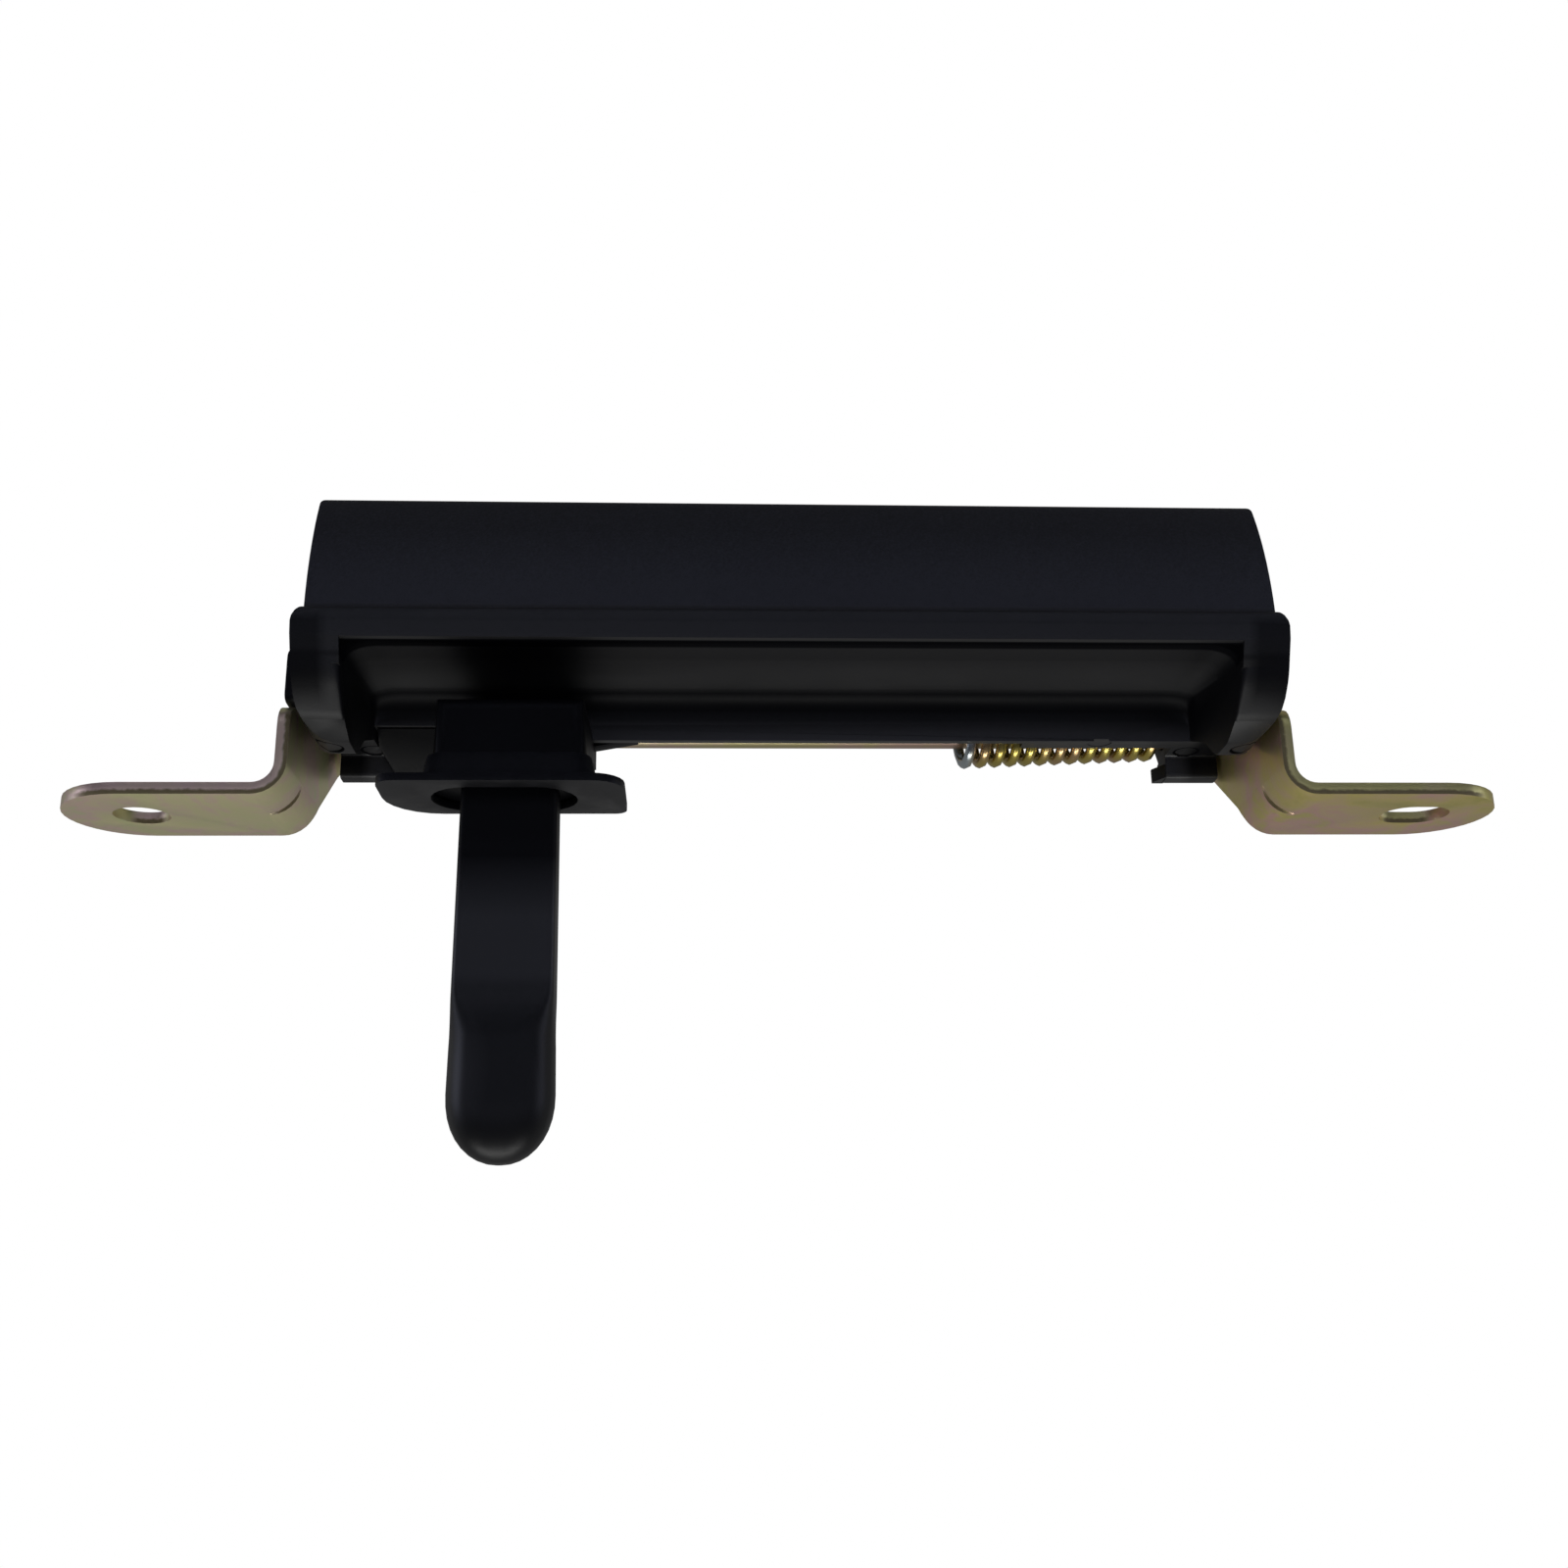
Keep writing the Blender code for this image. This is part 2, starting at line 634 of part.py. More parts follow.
def pocket_cutter(low, high):
    """One bay of the hollow back, between two ribs."""
    face = [(a, b, 0) for a, b in panel_arc(PANEL_WALL)[1:-1]]
    rear = BACK_REAR - OVERSHOOT
    top = PANEL_TOP - PANEL_WALL
    corners = [(ROOF_FRONT_HEIGHT + ROOF_WALL, PANEL_LOW_Z - PANEL_WALL - 1.4 * MM, 1.0 * MM)]
    corners += face[1:-1]
    corners += [
        (top, face[-1][1], 1.5 * MM),
        (top - TOP_SLOPE, PANEL_TOP_Z - TOP_DEPTH - OVERSHOOT, 0),
        (top - TOP_SLOPE, rear, 0),
        (ROOF_REAR_HEIGHT + ROOF_WALL, rear, 0),
        (ROOF_REAR_HEIGHT + ROOF_WALL, SCOOP_BACK, 0),
    ]
    return prism("pocket", rounded(corners, 3), "X", low, high)


def lug(side):
    """A bearing lug with the heel that meets the web, and on the right a skirt under the coil."""
    rear_radius = PIVOT_Z - WEB_FRONT - GAP - 0.6 * MM
    front = SCOOP_BACK - 0.8 * MM
    heel = PIVOT_Z - HEEL_SETBACK
    corners = [
        (BACK_WALL_LOW + FOOT_STEP, front, 0),
        (BACK_WALL_LOW + FOOT_STEP, LUG_FRONT, 0.5 * MM),
        (LUG_LOW, LUG_FRONT, 0.8 * MM),
        (LUG_LOW, PIVOT_Z - 3.0 * MM, 2.5 * MM),
        (PIVOT_Y - 4.2 * MM, PIVOT_Z - rear_radius, 2.0 * MM),
    ]
    outline = rounded(corners, 3)
    outline += arc((PIVOT_Y, PIVOT_Z), rear_radius, 270, 348, 8)
    outline += rounded([
        (PIVOT_Y + rear_radius + 0.3 * MM, heel, 0),
        (LUG_HEEL_TOP, heel, 1.0 * MM),
        (LUG_HEEL_TOP, PIVOT_Z + 9 * MM, 0),
        (PANEL_LOW - 2 * MM, SCOOP_BACK + 3 * MM, 0),
    ], 3)
    ends = sorted((side * LUG_INNER, side * (CAP_OUTER - GAP)))
    made = prism("lug", outline, "X", ends[0], ends[1])
    if side < 0:
        return made
    slant = [
        (LUG_INNER + GAP, LUG_FRONT - GAP),
        (LUG_INNER - GAP / 2, LUG_FRONT - GAP),
        (LUG_INNER - LUG_SKIRT, PIVOT_Z - 2.1 * MM),
        (LUG_INNER - LUG_SKIRT, PIVOT_Z - 2.9 * MM),
        (LUG_INNER + GAP, PIVOT_Z - 2.9 * MM),
    ]
    top = PIVOT_Y - COIL_MEAN / 2 - WIRE / 2 - GAP
    return join(made, prism("skirt", slant, "Y", LUG_LOW + GAP / 2, top))


def ejector_mark(x, low_face, z):
    """The shallow round recess that an ejector pin leaves in a face that looks down."""
    outline = [(x + a, z + b) for a, b in ring(EJECTOR_MARK / 2, 20)]
    return prism("mark", outline, "Y", low_face - OVERSHOOT, low_face + EJECTOR_DEPTH)


def pull_handle(finish_material):
    made = lower_body()
    made.name = "pull_handle"
    join(made, upper_body())
    for side in (-1, 1):
        join(made, lug(side))
    flange = rounded([
        (BACK_WALL_LOW + FOOT_STEP, SCOOP_BACK - 0.8 * MM, 0),
        (BACK_WALL_LOW + FOOT_STEP, SCOOP_BACK - FOOT_FLANGE, 0.4 * MM),
        (BACK_WALL_LOW + FOOT_FLANGE_THICKNESS, SCOOP_BACK - FOOT_FLANGE, 0.4 * MM),
        (BACK_WALL_LOW + FOOT_FLANGE_THICKNESS, SCOOP_BACK - 0.8 * MM, 0),
    ], 2)
    start = LUG_INNER - FOOT_FLANGE_LENGTH
    join(made, prism("flange", flange, "X", start, LUG_INNER + 1 * MM))
    cut(made, scoop_cutter())
    for side in (-1, 1):
        cut(made, mouth_rounding(side))
    notch = rounded([
        (NOTCH_HEIGHT, SCOOP_BACK + OVERSHOOT, 0),
        (NOTCH_HEIGHT, BACK_REAR - NOTCH_DEPTH, 0),
        (CAP_LOW, BACK_REAR - NOTCH_DEPTH, 0),
        (CAP_LOW, SCOOP_BACK + OVERSHOOT, 0),
    ])
    cut(made, prism("notch", notch, "X", -CAP_INNER, cheek_inner() + GAP - HANDLE_SHIFT))
    wall = PANEL_WALL
    first = -(RIB_COUNT - 1) / 2 * RIB_PITCH
    ribs = [first + RIB_PITCH * i for i in range(RIB_COUNT)]
    edges = [-(PANEL_HALF - wall) - RIB / 2] + ribs + [PANEL_HALF - wall + RIB / 2]
    for low, high in zip(edges, edges[1:]):
        cut(made, pocket_cutter(low + RIB / 2, high - RIB / 2))
    for side in (-1, 1):
        ends = sorted((side * (LUG_INNER - OVERSHOOT), side * (CAP_OUTER + OVERSHOOT)))
        cut(made, cylinder("bore", ROD / 2 + BORE_CLEARANCE, ends[0], ends[1]))
    stem_y, stem_z = buffer_stem_place()
    stem = BUFFER_STEM / 2 + GAP
    depth = CAP_OUTER - BUFFER_STEM_LENGTH - 2 * GAP
    cut(made, cylinder("stem_hole", stem, -CAP_OUTER - OVERSHOOT, -depth, stem_y, stem_z, 20))
    cap_middle = (CAP_INNER + CAP_OUTER) / 2
    lug_middle = (LUG_INNER + CAP_INNER) / 2
    foot = (CAP_FOOT_FRONT + CAP_FOOT_REAR) / 2
    for side in (-1, 1):
        cut(made, ejector_mark(side * cap_middle, CAP_LOW, foot))
        cut(made, ejector_mark(side * (lug_middle + EJECTOR_MARK / 2), BACK_WALL_LOW, LUG_FRONT + 2.4 * MM))
    cut(made, ejector_mark((start + LUG_INNER) / 2, BACK_WALL_LOW, BACK_REAR + EJECTOR_MARK / 4))
    made.data.transform(Matrix.Translation((HANDLE_SHIFT, 0, 0)))
    return finish(made, finish_material, (0, PIVOT_Y, PIVOT_Z))


def buffer_stem_place():
    low = LEG_FRONT_HEIGHT + BUFFER_CLEAR
    return (low + BUFFER_TOP) / 2, BUFFER_FRONT - BUFFER_DEPTH / 2


def stop_buffer(finish_material):
    """A rubber block that lands on the left leg's upper end when the handle springs home."""
    low = LEG_FRONT_HEIGHT + BUFFER_CLEAR
    inner = CAP_OUTER + GAP
    outer = inner + BUFFER_THICKNESS
    rear = BUFFER_FRONT - BUFFER_DEPTH
    corners = [
        (low, rear, 0.5 * MM),
        (BUFFER_TOP, rear, 1.0 * MM),
        (BUFFER_TOP, BUFFER_FRONT, 2.0 * MM),
        (low, BUFFER_FRONT, 1.5 * MM),
    ]
    made = prism("stop_buffer", rounded(corners), "X", -outer, -inner)
    stem_y, stem_z = buffer_stem_place()
    tip = CAP_OUTER - BUFFER_STEM_LENGTH
    join(made, cylinder("stem", BUFFER_STEM / 2, -inner - GAP, -tip, stem_y, stem_z, 20))
    made.data.transform(Matrix.Translation((HANDLE_SHIFT, 0, 0)))
    return finish(made, finish_material, (0, PIVOT_Y, PIVOT_Z))


def rounded_rectangle(half_width, front, rear, corner, steps=4):
    """A section across the lever's stem, as (x, z)."""
    corners = [
        (-half_width, rear, corner),
        (half_width, rear, corner),
        (half_width, front, corner),
        (-half_width, front, corner),
    ]
    return rounded(corners, steps)


def elbow_section(grow):
    """The elbow's section at the boot, grown all round: its front corners are rounded."""
    low = ARM_LEFT - grow
    high = ARM_RIGHT + grow
    front = ARM_FRONT + grow
    rear = ARM_FRONT - ARM_DEPTH - grow
    return rounded([
        (low, rear, grow),
        (high, rear, grow),
        (high, front, ARM_CORNER + grow),
        (low, front, ARM_CORNER + grow),
    ])


def ease(value):
    value = min(max(value, 0.0), 1.0)
    return value * value * (3 - 2 * value)


def stem_section(y):
    """The lever's half width, front, rear and corner radius at a height."""
    knob = ease((KNOB_START - y) / (KNOB_START - KNOB_FULL))
    sides = ease((KNOB_START - KNOB_SIDES_DELAY - y) / (KNOB_START - KNOB_FULL))
    spread = STEM_WIDTH + STEM_SPREAD * min(max(y / KNOB_START, 0.0), 1.0)
    half = (spread + (KNOB_WIDTH - spread) * sides) / 2
    thickness = STEM_THICKNESS + (KNOB_THICKNESS - STEM_THICKNESS) * knob
    front = STEM_FRONT + (KNOB_THICKNESS - STEM_THICKNESS) * 0.55 * knob
    rear = front - thickness
    end_start = LEVER_TIP + KNOB_END
    if y < end_start:
        fall = math.sqrt(max(0.0, 1 - ((end_start - y) / KNOB_END) ** 2.2))
        narrow = KNOB_WIDTH / 2 * 0.06
        half = narrow + (half - narrow) * fall
        middle = (front + rear) / 2
        front = middle + (front - middle) * (0.16 + 0.84 * fall)
        rear = middle + (rear - middle) * (0.16 + 0.84 * fall)
    corner = 1.2 * MM + (min(front - rear, 2 * half) / 2 * 0.86 - 1.2 * MM) * knob
    return half, front, rear, corner


def stem():
    heights = [ARM_FOOT + 2 * MM, -2 * MM, -16 * MM]
    count = 10
    heights += [KNOB_START + (KNOB_FULL - KNOB_START) * i / count for i in range(count + 1)]
    end_start = LEVER_TIP + KNOB_END
    heights += [end_start]
    for i in range(1, 10):
        angle = math.pi / 2 * i / 9
        heights.append(end_start - KNOB_END * math.sin(angle) * (1 - 1e-4))
    sections = []
    for y in heights:
        half, front, rear, corner = stem_section(y)
        outline = rounded_rectangle(half, front, rear, corner)
        sections.append([(LEVER_X + a, y, b) for a, b in outline])
    return loft("stem", sections)


def cheek_inner():
    return ARM_LEFT + ARM_TAPER + 1 * MM


def hub_cheek(hub_left):
    """The flat sloping cheek left of the arm, in front of the hub, with its thin outer end."""
    top = NOTCH_HEIGHT - GAP
    outline = [
        (top, CHEEK_TOP_Z),
        (CHEEK_LOW, CHEEK_LOW_Z),
        (CHEEK_LOW, CHEEK_LOW_Z - CHEEK_WALL),
        (PIVOT_Y - HUB_RADIUS * 0.8, PIVOT_Z),
        (top, BACK_REAR + GAP),
    ]
    body = prism("cheek", outline, "X", hub_left, cheek_inner())
    outline[2:] = [
        (CHEEK_LOW, CHEEK_LOW_Z - GAP),
        (BACK_WALL_LOW - GAP, LUG_FRONT + 2 * MM),
        (BACK_WALL_LOW - GAP, BACK_REAR - NOTCH_DEPTH + GAP),
        (top, BACK_REAR - GAP),
    ]
    outer = ARM_LEFT - CHEEK_LENGTH
    blade = prism("cheek_blade", outline, "X", outer, hub_left + 1 * MM)
    slant = [
        (outer, top + OVERSHOOT),
        (outer, BACK_WALL_LOW - GAP),
        (hub_left + GAP, CHEEK_LOW),
        (hub_left + OVERSHOOT, CHEEK_LOW - GAP),
        (hub_left + OVERSHOOT, top + OVERSHOOT),
    ]
    keep(blade, prism("slant", slant, "Z", PIVOT_Z - OVERSHOOT, ARM_FRONT))
    return join(body, blade)


def release_lever(finish_material):
    """Hub on the rod, arm under the scoop, elbow down through the boot, stem and knob."""
    rear = ARM_FRONT - ARM_DEPTH
    hub_front = PIVOT_Z + HUB_RADIUS * 0.8
    ceiling = BACK_WALL_LOW - GAP
    corners = [
        (ARM_FOOT, ARM_FRONT, 0.6 * MM),
        (ARM_TOP, ARM_FRONT, ARM_CORNER),
        (ceiling, SCOOP_BACK + 4 * MM, 2.0 * MM),
        (ceiling, hub_front, 0),
        (PIVOT_Y, PIVOT_Z, 0),
        (PIVOT_Y - HUB_RADIUS * 0.97, PIVOT_Z - 0.5 * MM, 0),
        (PIVOT_Y - HUB_RADIUS * 1.1, PIVOT_Z + 6 * MM, 6 * MM),
        (COLLAR_HEIGHT + 3.2 * MM, rear, 2.6 * MM),
        (ARM_FOOT, rear, 0.6 * MM),
    ]
    made = prism("release_lever", rounded(corners, 4), "X", ARM_LEFT, ARM_RIGHT)
    front_view = [
        (ARM_LEFT, ARM_FOOT - OVERSHOOT),
        (ARM_RIGHT, ARM_FOOT - OVERSHOOT),
        (ARM_RIGHT, ARM_FOOT),
        (ARM_RIGHT - ARM_TAPER, ARM_TOP - ARM_CORNER),
        (ARM_RIGHT - ARM_TAPER, TAIL_TOP),
        (ARM_LEFT + ARM_TAPER, TAIL_TOP),
        (ARM_LEFT + ARM_TAPER, ARM_TOP - ARM_CORNER),
        (ARM_LEFT, ARM_FOOT),
    ]
    keep(made, prism("arm_front", front_view, "Z", PIVOT_Z - 2 * HUB_RADIUS, ARM_FRONT + OVERSHOOT))
    corner_tool = rounded_rectangle(ARM_WIDTH / 2, ARM_FRONT, PIVOT_Z - 20 * MM, ARM_CORNER)
    corner_tool = [(LEVER_X + a, b) for a, b in corner_tool]
    keep(made, prism("arm_top", corner_tool, "Y", ARM_FOOT - OVERSHOOT, TAIL_TOP + OVERSHOOT))
    hub_left = HANDLE_SHIFT - (LUG_INNER - GAP)
    join(made, cylinder("hub", HUB_RADIUS, hub_left, ARM_RIGHT - ARM_TAPER - 0.4 * MM))
    join(made, hub_cheek(hub_left))
    gusset_front = BACK_REAR - GUSSET_SETBACK
    root = ARM_RIGHT - ARM_TAPER - 1 * MM
    gusset = [
        (root, BACK_WALL_LOW - 0.2 * MM),
        (ARM_RIGHT + GUSSET_LENGTH, BACK_WALL_LOW + 1.4 * MM),
        (ARM_RIGHT + GUSSET_LENGTH, BACK_WALL_LOW + 2.2 * MM),
        (root, PIVOT_Y + ROD / 2),
    ]
    join(made, prism("gusset", gusset, "Z", gusset_front - GUSSET_DEPTH, gusset_front))
    tail_front = BACK_REAR - GAP
    tail = rounded([
        (PIVOT_Y - 2 * MM, tail_front, 0),
        (TAIL_TOP, tail_front, 0.6 * MM),
        (TAIL_TOP, tail_front - TAIL_DEPTH, 1.5 * MM),
        (PIVOT_Y - 2 * MM, tail_front - TAIL_DEPTH, 0),
    ], 3)
    join(made, prism("tail", tail, "X", LEVER_X - TAIL_WIDTH / 2, LEVER_X + TAIL_WIDTH / 2))
    join(made, stem())
    bore = ROD / 2 + BORE_CLEARANCE
    cut(made, cylinder("bore", bore, hub_left - OVERSHOOT, ARM_RIGHT + GUSSET_LENGTH + OVERSHOOT))
    return finish(made, finish_material, (0, PIVOT_Y, PIVOT_Z))


def lever_boot(finish_material):
    """The rubber boot: a sealing plate at the panel and a collar that grips the elbow."""
    left, right = LEVER_X - BOOT_REACH_LEFT, LEVER_X + BOOT_REACH_RIGHT
    front, rear = ARM_FRONT + BOOT_MARGIN_FRONT, ARM_FRONT - ARM_DEPTH - BOOT_MARGIN_REAR
    plate = rounded([
        (left, rear, BOOT_CORNER_BIG),
        (right, rear, BOOT_CORNER_REAR),
        (right, front, BOOT_CORNER_RIGHT),
        (left, front, BOOT_CORNER_LEFT),
    ], 6)
    top = BOOT_PLATE - BOOT_SQUEEZE
    made = prism("lever_boot", plate, "Y", -BOOT_SQUEEZE, top)
    outer = BOOT_WALL + GAP
    sections = []
    for y, flare in ((top - 0.4 * MM, 1.1 * MM), (top + 0.1 * MM, 1.0 * MM), (top + 0.9 * MM, 0.5 * MM),
                     (top + 2.0 * MM, 0.3 * MM), (COLLAR_HEIGHT, -0.3 * MM)):
        sections.append([(a, y, b) for a, b in elbow_section(outer + flare)])
    join(made, loft("collar", sections))
    cut(made, prism("cavity", elbow_section(GAP), "Y", ARM_FOOT - GAP, COLLAR_HEIGHT + OVERSHOOT))
    centre = ((left + right) / 2, STEM_FRONT - STEM_THICKNESS / 2 + BOOT_SLOT_LEAD)
    radius = BOOT_SLOT_WIDTH / 2
    slot = slot_outline(centre, BOOT_SLOT_LENGTH - 2 * radius, radius)
    cut(made, prism("slot", slot, "Y", -BOOT_SQUEEZE - OVERSHOOT, ARM_FOOT))
    return finish(made, finish_material, (0, PIVOT_Y, PIVOT_Z))


def pivot_rod(finish_material):
    """The rod, turned from one bar: head, shank, clip groove and tail."""
    left = -(LEG_OUTER + GAP)
    groove = LEG_OUTER + GAP
    groove_end = groove + CLIP_THICKNESS + 2 * GAP
    radius = ROD / 2
    chamfer = 0.5 * MM
    profile = [
        (left - ROD_HEAD_THICKNESS, ROD_HEAD / 2 - 0.9 * MM),
        (left - ROD_HEAD_THICKNESS + 0.9 * MM, ROD_HEAD / 2),
        (left, ROD_HEAD / 2),
        (left, radius),
        (groove, radius),
        (groove, radius - GROOVE_DEPTH),
        (groove_end, radius - GROOVE_DEPTH),
        (groove_end, radius),
        (groove_end + ROD_TAIL - 2 * MM - chamfer, radius),
        (groove_end + ROD_TAIL - 2 * MM, radius - chamfer),
    ]
    sections = []
    for x, r in profile:
        sections.append([(x, PIVOT_Y + a, PIVOT_Z + b) for a, b in ring(r, 28)])
    return finish(loft("pivot_rod", sections), finish_material)


def rod_clip(finish_material):
    """A spring-steel retaining ring with an open mouth, sprung into the rod's groove."""
    inner = ROD / 2 - GROOVE_DEPTH + GAP
    outer = CLIP_OUTER / 2
    mouth = math.degrees(math.asin(CLIP_MOUTH / 2 / outer))
    inner_mouth = math.degrees(math.asin(min(0.95, CLIP_MOUTH * 0.8 / 2 / inner)))
    outline = arc((PIVOT_Y, PIVOT_Z), outer, 90 + mouth, 450 - mouth, 28)
    outline += arc((PIVOT_Y, PIVOT_Z), inner, 450 - inner_mouth, 90 + inner_mouth, 20)
    low = LEG_OUTER + 2 * GAP
    made = prism("rod_clip", outline, "X", low, low + CLIP_THICKNESS)
    return finish(made, finish_material)


def spring_path():
    """The wire's centre line: the leg on the web, the coil and the leg behind the scoop."""
    radius = COIL_MEAN / 2
    steps = 16
    total = int(COIL_TURNS * steps)
    length = COIL_TURNS * COIL_PITCH
    right = LUG_INNER + HANDLE_SHIFT - GAP - WIRE
    left = right - length
    coil = []
    for i in range(total + 1):
        share = i / total
        angle = math.radians(180 + 360 * COIL_TURNS * share)
        sag = SPRING_TILT * (share - 0.5)
        y = PIVOT_Y + sag + radius * math.sin(angle)
        z = PIVOT_Z + radius * math.cos(angle)
        coil.append(Vector((left + length * share, y, z)))
    web_z = WEB_FRONT + WIRE / 2 + GAP
    bearing_z = BACK_REAR - WIRE / 2 - GAP
    first, last = coil[0], coil[-1]
    web_leg = []
    for i in range(5):
        share = 1 - i / 5
        y = first.y + (SPRING_LEG_TOP - first.y) * share
        z = first.z + (web_z - first.z) * ease(share * 1.5)
        web_leg.append(Vector((first.x - SPRING_LEG_LEAN * share, y, z)))
    handle_leg = []
    for i in range(1, 5):
        share = i / 4
        y = last.y + (SPRING_LEG_BEARING - last.y) * share
        z = last.z + (bearing_z - last.z) * ease(share)
        handle_leg.append(Vector((last.x + SPRING_LEG_LEAN * share, y, z)))
    return web_leg + coil + handle_leg


def tube(name, path, radius, sides=8):
    """A round wire along a path, with flat ends."""
    sections = []
    up = Vector((1, 0, 0))
    for i, point in enumerate(path):
        before = path[max(i - 1, 0)]
        after = path[min(i + 1, len(path) - 1)]
        along = (after - before).normalized()
        across = (up - along * up.dot(along)).normalized()
        other = along.cross(across)
        section = []
        for a, b in ring(radius, sides):
            section.append(point + across * a + other * b)
        sections.append(section)
    return loft(name, sections)


def return_spring(finish_material):
    return finish(tube("return_spring", spring_path(), WIRE / 2), finish_material)


def build():
    for old in list(bpy.data.objects):
        bpy.data.objects.remove(old)
    zinc = material("yellow_zinc", srgb(196, 182, 120), 0.34, 1.0)
    spring_zinc = material("spring_zinc", srgb(206, 184, 104), 0.28, 1.0)
    steel = material("bright_steel", srgb(168, 168, 166), 0.32, 1.0)
    grained = material("grained_black", srgb(25, 26, 31), 0.55)
    satin = material("satin_black", srgb(22, 22, 26), 0.48)
    rubber = material("black_rubber", srgb(30, 30, 32), 0.62)
    mounting_bracket(zinc)
    pull_handle(grained)
    release_lever(satin)
    lever_boot(rubber)
    stop_buffer(rubber)
    pivot_rod(zinc)
    rod_clip(steel)
    return_spring(spring_zinc)


build()
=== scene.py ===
import math

import bpy
from mathutils import Matrix, Vector


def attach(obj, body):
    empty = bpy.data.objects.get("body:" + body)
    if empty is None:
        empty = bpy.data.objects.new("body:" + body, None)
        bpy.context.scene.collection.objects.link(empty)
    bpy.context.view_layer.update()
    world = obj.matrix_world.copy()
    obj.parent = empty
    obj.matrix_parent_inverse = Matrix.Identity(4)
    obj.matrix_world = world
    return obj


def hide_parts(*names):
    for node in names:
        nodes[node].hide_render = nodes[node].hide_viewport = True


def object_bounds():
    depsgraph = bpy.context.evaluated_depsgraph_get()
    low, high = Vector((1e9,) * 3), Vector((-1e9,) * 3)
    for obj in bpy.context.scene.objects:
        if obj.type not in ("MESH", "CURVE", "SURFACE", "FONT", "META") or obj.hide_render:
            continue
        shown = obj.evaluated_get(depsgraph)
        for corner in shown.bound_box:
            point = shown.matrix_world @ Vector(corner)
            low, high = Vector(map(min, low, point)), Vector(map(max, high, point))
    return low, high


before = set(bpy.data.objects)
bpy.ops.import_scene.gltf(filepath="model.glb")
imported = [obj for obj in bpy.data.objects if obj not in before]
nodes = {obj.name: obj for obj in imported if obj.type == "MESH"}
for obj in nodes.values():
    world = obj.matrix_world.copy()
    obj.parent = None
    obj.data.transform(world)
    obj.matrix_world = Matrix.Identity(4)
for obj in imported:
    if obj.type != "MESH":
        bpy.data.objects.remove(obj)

solid_bounds = [[float(v) for v in corner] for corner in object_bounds()]
MM = 0.001

# X runs to the photo's right, Y up the photo, away from the body panel, and Z towards the camera.

WARM_WHITE = (1.0, 1.0, 0.98)
SKY = (0.84, 0.88, 1.12)
ROOM_GLOW = 0.045
FLOOR_BOUNCE = 0.20

# Name, place, aim, length and width in metres, watts, colour
LAMPS = (
    ("low_window", (-0.06, -0.95, 0.03), (0, 0.02, 0), (1.15, 0.14), 4.1, WARM_WHITE),
    ("over_panel", (0, 0.40, 0.35), (0, 0.40, 0), (1.0, 0.1), 0.36, SKY),
    ("over_lever", (0, 0.06, 0.35), (0, 0.06, 0), (1.0, 0.1), 0.13, SKY),
    ("over_scoop", (0, -0.12, 0.35), (0, -0.12, 0), (1.0, 0.1), 0.14, SKY),
    ("left_window", (-0.90, 0.05, 0.10), (0, 0.02, 0), (0.5, 0.3), 0.7, SKY),
    ("right_window", (0.90, 0.05, 0.10), (0, 0.02, 0), (0.5, 0.3), 0.7, SKY),
)
FLOOR_GAP = 0.4 * MM
FLOOR_SIZE = 6
BOUNCE_GAP = 0.1 * MM
BOUNCE_SIZE = 1.6
BACKDROP_RADIUS = 4

CAMERA_PLACE = (-0.016532, -0.085462, 0.280279)
CAMERA_PITCH, CAMERA_YAW, CAMERA_ROLL = 17.97, 3.207, 0.961   # degrees
SENSOR_WIDTH = 36
LENS = 39.663
CLIP_START = 0.01

SAME_POINT = 1e-6
FLAT_ANGLE = 0.6      # degrees: faces this near to one plane become one face
SHARP_ANGLE = 34      # degrees: edges sharper than this are rounded over
SMOOTH_ANGLE = 38     # degrees: edges flatter than this are shaded smooth

BLACK_TINT = (0.92, 0.95, 1.18)
PINK_RIM = (0.90, 0.66, 0.56)
YELLOW_RIM = (0.80, 0.76, 0.32)
TORN_STEEL = (0.30, 0.25, 0.13)
BLUED_WIRE = (0.50, 0.56, 0.58)
OILED_DARK = (0.10, 0.10, 0.105)
OILED_PALE = (0.17, 0.165, 0.16)

# Colour ramps: place, colour
STRAW_ZINC = (
    (0.30, (0.62, 0.68, 0.36)),
    (0.42, (0.80, 0.78, 0.42)),
    (0.50, (0.84, 0.77, 0.46)),
    (0.58, (0.88, 0.67, 0.56)),
    (0.68, (0.72, 0.76, 0.40)),
)
YELLOW_ZINC = (
    (0.30, (0.62, 0.56, 0.16)),
    (0.42, (0.76, 0.64, 0.24)),
    (0.52, (0.78, 0.60, 0.34)),
    (0.60, (0.80, 0.52, 0.43)),
    (0.68, (0.72, 0.62, 0.24)),
)
WIRE_ZINC = (
    (0.35, (0.52, 0.43, 0.12)),
    (0.50, (0.60, 0.48, 0.12)),
    (0.65, (0.58, 0.40, 0.20)),
)

# Soft edges on the parts, in millimetres: an axis, where the region is nothing, where it is full.
# The axis "side" is the distance from the middle plane, alike on the left and the right.
PANEL = ("y", 28.7, 29.1)
SCOOP = (("side", 76.5, 74.5), ("z", 21.8, 21.2), ("y", 27.6, 26.8))
ROOF = SCOOP + (("y", 20.5, 23.5),)
GROOVE = SCOOP + (("z", 16.8, 17.8), ("y", 20.0, 20.8))
WITHIN_CAPS = ("side", 79.0, 76.5)
KNOB = ("y", -30.0, -37.0)
STRAW_TO_YELLOW = ("x", -60.0, 60.0)
BLUED_END = ("x", 36.2, 34.3)

